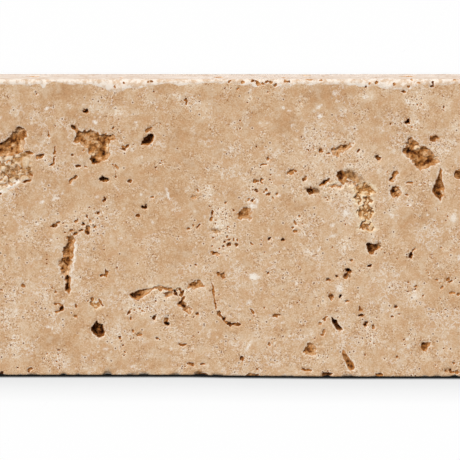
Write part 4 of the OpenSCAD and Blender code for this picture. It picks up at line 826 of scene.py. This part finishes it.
def colour(code):
    """A colour from its sRGB hex code, as linear values."""
    parts = [int(code[i:i + 2], 16) / 255 for i in (1, 3, 5)]
    return [c / 12.92 if c <= 0.04045 else ((c + 0.055) / 1.055) ** 2.4 for c in parts] + [1]


def add(tree, kind, inputs, out=0, stops=(), **settings):
    """Adds a shader node with its settings, the values or links of its inputs and the stops of
    its colour ramp, and returns one of its outputs."""
    new = tree.nodes.new("ShaderNode" + kind)
    for key, value in settings.items():
        setattr(new, key, value)
    for key, value in inputs.items():
        if isinstance(value, bpy.types.NodeSocket):
            tree.links.new(value, new.inputs[key])
        else:
            new.inputs[key].default_value = value
    for stop, (at, code) in enumerate(stops):
        elements = new.color_ramp.elements
        element = elements[stop] if stop < 2 else elements.new(at)
        element.position = at
        element.color = colour(code)
    return new.outputs[out]


# Tumbled travertine: matt and fine-grained, cream to tan in soft clouds, with dirt and rust in
# its pits, paler crushed stone on its rims and worn edges, and scattered flecks of calcite. A
# painted highlight makes the rims paler still, and a painted warm shade tints the low places
# and the edges of the pits.
# Its finest grain, 0.1 mm and less, wouldn't show, so the finest here is 0.36 mm
travertine = bpy.data.materials.new("tumbled_travertine")
travertine.use_nodes = True
tree = travertine.node_tree
shader = tree.nodes["Principled BSDF"]
place = add(tree, "TexCoord", {}, "Object")

# The stone's fields, most of them from 0 to 1: random patterns, each with the size of its
# spots in mm, its detail and its roughness, and then what the mesh says of each place
fields = {}
for name, size, detail, rough in (("clouds", 16, 3, 0.6), ("mottle", 5, 5, 0.6),
        ("grain", 1.1, 5, 0.7), ("fine", 0.36, 3, 0.7), ("bustle", 4.5, 5, 0.7),
        ("patches", 2.6, 4, 0.65), ("threads", 1.7, 4, 0.7), ("crowds", 6, 4, 0.65),
        ("crystals", 0.55, 3, 0.65), ("specks", 0.42, 2, 0.6), ("rust", 1.2, 4, 0.7),
        ("crush", 1.6, 5, 0.7), ("grime", 1.8, 5, 0.65), ("ochre", 1.4, 3, 0.6),
        ("smears", 0.8, 5, 0.8), ("umber", 0.9, 4, 0.75)):
    fields[name] = add(tree, "TexNoise", {"Vector": place, "Scale": 1000 / size,
        "Detail": detail, "Roughness": rough})
for name in tile_fields:
    fields[name] = add(tree, "Attribute", {}, "Fac", attribute_name=name)

# Sums of them: [name, start, share of each field]
for name, total, shares in (
        ("busy", 0, {"bustle": 1, "cloud": 0.13}),
        ("grit", -0.935, {"fine": 1.35, "grain": 0.52}),
        ("tone", 0.203, {"clouds": 0.12, "mottle": 0.44, "cloud": 0.22}),
        ("thread", -0.5, {"threads": 1}),
        ("bored", -0.4, {"tubes": 1, "grain": 0.8}),
        ("rim", -0.175, {"rim gap": 1, "fine": 0.35}),
        ("rim crumbs", 0, {"mottle": 0.5, "grain": 0.6}),
        ("crushed", -0.4, {"worn": 1, "grain": 0.8}),
        ("soil", -0.29, {"fine": 0.4, "grime": 1.7, "dirt": -0.5}),
        ("filmed", 1.05, {"film": 1, "smears": -2.2}),
        ("height", 0, {"grain": 0.6, "fine": 0.4})):
    for field, share in shares.items():
        total = add(tree, "Math", {0: fields[field], 1: share, 2: total},
            operation="MULTIPLY_ADD")
    fields[name] = total
fields["thread"] = add(tree, "Math", {0: fields["thread"]}, operation="ABSOLUTE")

# The grain is stronger where the stone is busy, rust keeps off what is sawn or worn, and the
# flecks are chalky
lively = add(tree, "MapRange", {0: fields["busy"], 1: 0.4, 2: 0.62, 3: 0.6, 4: 1.3},
    interpolation_type="SMOOTHSTEP")
fields["tone"] = add(tree, "Math", {0: fields["grit"], 1: lively, 2: fields["tone"]},
    operation="MULTIPLY_ADD")
unworn = add(tree, "MapRange", {0: fields["worn"], 1: 0.2, 2: 0.9, 3: 1, 4: 0.25},
    interpolation_type="SMOOTHSTEP")
unsawn = add(tree, "Math", {0: 1, 1: fields["sawn"]}, operation="SUBTRACT")
fields["weathered"] = add(tree, "Math", {0: unsawn, 1: unworn}, operation="MULTIPLY")
chalk = add(tree, "MapRange", {0: fields["fine"], 1: 0.34, 2: 0.6, 3: 0.52, 4: 1.3},
    interpolation_type="SMOOTHSTEP")
chalk = add(tree, "Math", {0: fields["fleck"], 1: chalk}, operation="MULTIPLY")
fields["white"] = add(tree, "Math", {0: chalk, 1: 0.92}, operation="MINIMUM")

# Pores about 1.1 mm apart; some are open, more of them where they crowd and in the pale veils
fields["pore"] = add(tree, "TexVoronoi", {"Vector": place, "Scale": 1000 / 1.1}, "Distance")
chance = add(tree, "SeparateColor", {0: fields["pore"].node.outputs["Color"]})
crowd = add(tree, "MapRange", {0: fields["crowds"], 1: 0.46, 2: 0.62, 3: 0.045, 4: 0.31},
    interpolation_type="SMOOTHSTEP")
crowd = add(tree, "Math", {0: fields["cloud"], 1: 0.2, 2: crowd}, operation="MULTIPLY_ADD")
for name, limit in (("open", crowd), ("open at a saw cut", 0.16)):
    fields[name] = add(tree, "Math", {0: chance, 1: limit}, operation="LESS_THAN")
along_cut = add(tree, "Mapping", {"Vector": place, "Scale": [60, 60, 2000]})
fields["saw lines"] = add(tree, "TexNoise", {"Vector": along_cut, "Scale": 1, "Detail": 3})

# The surfaces: [name, base, coats of colour laid on it]. A coat is [masks, strength, colour],
# and a mask is (field,), or (field, start, end) for an easy curve from 0 at start to 1 at end
surfaces = {
    "plain stone": add(tree, "ValToRGB", {0: fields["tone"]}, stops=[(0.2, "#b2875f"),
        (0.9, "#ecdcc6"), (0.4, "#c69f78"), (0.5, "#cfad89"), (0.62, "#d9bb9b")]),
    "soil": add(tree, "ValToRGB", {0: fields["soil"]}, stops=[(0.05, "#240f03"),
        (0.85, "#e6cba8"), (0.25, "#5e300f"), (0.4, "#94602f"), (0.53, "#b58556"),
        (0.66, "#c9a077")])}
for name, base, coats in (
    ("honeycomb", "#eadbc6", [[[("comb",)], 1, "#eacda2"]]),
    ("tube walls", "#a36a34", [[[("tubes", 0.7, 1.2)], 1, "#5a320e"]]),
    ("worn stone", "#c8ac91", [[[("crush", 0.4, 0.56)], 1, "#e1d7cb"]]),
    ("dirt film", "#694019", [[[("umber", 0.42, 0.6)], 1, "#b58654"]]),
    ("sawn stone", "#d0bdac", [
        [[("saw lines", 0.35, 0.7)], 1, "#e0d3c8"],
        [[("patches", 0.53, 0.68)], 0.55, "#c4a488"],
        [[("patches", 0.47, 0.32)], 0.5, "#ece4da"],
        [[("pore", 0.34, 0.2), ("open at a saw cut",)], 0.6, "#a07550"]]),
    ("pit floor", "soil", [
        [[("ochre", 0.5, 0.64)], 0.5, "#b87a3c"],
        # An orange band inside each rim: rust, made strong enough to paint a warm shade on the
        # walls
        [[("rim", 0.3, 0), ("weathered",)], 0.5, "#b5702e"]]),
    ("tumbled stone", "plain stone", [
        # Warm and greyish patches a few millimetres across, and fine pale wisps
        [[("patches", 0.51, 0.68)], 0.5, "#c4956a"],
        [[("patches", 0.5, 0.35)], 0.42, "#dac5ab"],
        [[("thread", 0.04, 0), ("crowds", 0.5, 0.62)], 0.75, "#ede2d4"],
        # Rusty pores with pale rings, pale crystals and rusty specks
        [[("pore", 0.5, 0.3), ("open",)], 0.42, "#f0e2cf"],
        [[("pore", 0.25, 0.14), ("open",)], 0.92, "#6b390b"],
        [[("crystals", 0.54, 0.64), ("busy", 0.5, 0.69)], 0.78, "#f3e9dd"],
        [[("specks", 0.41, 0.35), ("busy", 0.48, 0.59)], 0.9, "#87501d"],
        # Pale veils, honeycombed patches and their tubes, rusty stains and white flecks
        [[("veil",)], 0.85, "#f1dfc1"],
        [[("comb",)], 0.75, "honeycomb"],
        [[("bored", 0.15, 0.75)], 0.92, "tube walls"],
        [[("stain",), ("rust", 0.38, 0.62)], 1, "#b9803f"],
        [[("white",)], 1, "#f1e8dc"],
        # Crushed stone and a painted highlight on the rims, the pale dusty sawn sides, and the
        # worn edges
        [[("rim", -0.65, -0.2), ("rim crumbs", 0.45, 0.62)], 0.75, "#efe0cc"],
        [[("sawn",)], 1, "sawn stone"],
        [[("crushed", 0.35, 0.6)], 0.86, "worn stone"],
        # A painted warm shade in the low places; rust round the pits, with a painted warm shade on
        # their walls; films of dirt; and the pits themselves
        [[("low",)], 0.55, "#b9824c"],
        [[("rim", -0.24, -0.06), ("weathered",)], 0.65, "#ad713a"],
        [[("filmed", 0.15, 0.75), ("film", 0, 0.3)], 0.85, "dirt film"],
        [[("rim", -0.14, 0)], 1, "pit floor"]])):
    coated = surfaces[base] if base in surfaces else colour(base)
    for masks, share, tint in coats:
        for field, *ends in masks:
            mask = fields[field]
            if ends:
                mask = add(tree, "MapRange", {0: mask, 1: ends[0], 2: ends[1]},
                    interpolation_type="SMOOTHSTEP")
            share = mask if share == 1 else add(tree, "Math", {0: mask, 1: share},
                operation="MULTIPLY")
        tint = surfaces[tint] if tint in surfaces else colour(tint)
        coated = add(tree, "Mix", {0: share, 6: coated, 7: tint}, 2, data_type="RGBA")
    surfaces[name] = coated
tree.links.new(surfaces["tumbled stone"], shader.inputs["Base Color"])

# Limestone's IOR is about 1.5, but tumbling leaves it too rough to show more than a weak gloss
shader.inputs["Roughness"].default_value = 0.82
shader.inputs["Specular IOR Level"].default_value = 0.12
grainy = add(tree, "Bump", {"Height": fields["height"], "Strength": 0.7, "Distance": 0.15 * MM})
tree.links.new(grainy, shader.inputs["Normal"])
tile.data.materials.append(travertine)

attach(tile, "root")
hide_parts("tile")

# ------------------------------------------------------------------------------------------
# The table, the light and the camera. The table is a sheet of white card, and the tile lies
# loose on it. Its shadow on the card is painted: soft round the tile and near-black in a band
# along the lower side of the tile; the lamp casts only a very weak real shadow there.

bpy.ops.object.select_all(action="DESELECT")
bpy.ops.mesh.primitive_plane_add(size=6, location=(0, 0, low.z - 0.01 * MM))
table = bpy.context.object
table.name = "table"

# Uncoated white card, a sheet of pressed pulp: matt and even. To the eye it is its own white,
# with a painted shadow beside the tile; to the tile it is a plain pale reflector
card = bpy.data.materials.new("white_card")
card.use_nodes = True
tree = card.node_tree
tree.nodes.remove(tree.nodes["Principled BSDF"])
toward_key = add(tree, "CombineXYZ", {0: -0.2, 1: 0.84, 2: 0.5})
# A painted soft shadow, greyest on the side of the tile away from the key lamp
soft_shadow_ao = add(tree, "AmbientOcclusion", {"Distance": 9 * MM, "Normal": toward_key}, "AO",
    samples=16)
white_with_painted_shadow = add(tree, "ValToRGB", {0: soft_shadow_ao}, stops=[(0.4, "#e2e2e2"), (1.0, "#fcfcfc"),
    (0.5, "#ebebeb"), (0.62, "#f3f3f3"), (0.9, "#fafafa")])
# A painted near-black band on the card along the lower side of the tile
level = add(tree, "CombineXYZ", {0: 0, 1: 1, 2: 0})
contact_shadow_ao = add(tree, "AmbientOcclusion", {"Distance": 2.93 * MM, "Normal": level}, "AO",
    samples=128)
deep = add(tree, "MapRange", {0: contact_shadow_ao, 1: 0.81, 2: 0.94, 3: 0.008, 4: 1})
white = add(tree, "Emission", {"Color": white_with_painted_shadow, "Strength": deep})
dark = add(tree, "BsdfDiffuse", {"Color": [0.02, 0.02, 0.02, 1]})
shown = add(tree, "AddShader", {0: white, 1: dark})
pale = add(tree, "BsdfDiffuse", {"Color": [0.75, 0.74, 0.73, 1]})
rays = add(tree, "LightPath", {}).node.outputs
seen = rays["Is Camera Ray"]
for kind in ("Is Glossy Ray", "Is Transmission Ray"):
    seen = add(tree, "Math", {0: seen, 1: rays[kind]}, operation="MAXIMUM")
surface = add(tree, "MixShader", {0: seen, 1: pale, 2: shown})
tree.links.new(surface, tree.nodes["Material Output"].inputs["Surface"])
table.data.materials.append(card)

# A white room that shows white, and lights the tile softly, more from the side of the key lamp
world = bpy.data.worlds.new("white room")
bpy.context.scene.world = world
world.use_nodes = True
tree = world.node_tree
towards = add(tree, "SeparateXYZ", {0: add(tree, "TexCoord", {}, "Generated")}, 1)
lit = add(tree, "MapRange", {0: towards, 1: -0.8, 2: 0.8, 3: 0.12, 4: 0.56})
rays = add(tree, "LightPath", {}).node.outputs
seen = rays["Is Camera Ray"]
for kind in ("Is Glossy Ray", "Is Transmission Ray"):
    seen = add(tree, "Math", {0: seen, 1: rays[kind]}, operation="MAXIMUM")
strength = add(tree, "Mix", {0: seen, 2: lit, 3: 1})
tree.links.new(strength, tree.nodes["Background"].inputs["Strength"])
tree.nodes["Background"].inputs["Color"].default_value = [1, 1, 1, 1]

# The key lamp: broad and high, up and to the left of the tile
key = bpy.data.lights.new("key", "SUN")
key.energy = 3.1
key.angle = math.radians(28)
key_lamp = bpy.data.objects.new("key", key)
bpy.context.collection.objects.link(key_lamp)
elevation, bearing = math.radians(44), math.radians(35)
toward = Vector((-math.sin(bearing) * math.cos(elevation),
    math.cos(bearing) * math.cos(elevation), math.sin(elevation)))
key_lamp.rotation_euler = toward.to_track_quat("Z", "Y").to_euler()

# The camera: 2 m away, nearly straight above
camera = bpy.data.cameras.new("camera")
camera.lens, camera.sensor_width = 628.6, 36
eye = bpy.data.objects.new("camera", camera)
bpy.context.collection.objects.link(eye)
tilt, away = math.radians(9.6), 2.0
aim = Vector((0, -0.35 * MM, high.z))
eye.location = aim + away * Vector((0, math.sin(tilt), math.cos(tilt)))
eye.rotation_euler = (-tilt, 0, 0)
bpy.context.scene.camera = eye
bpy.context.scene.view_settings.view_transform = "Standard"
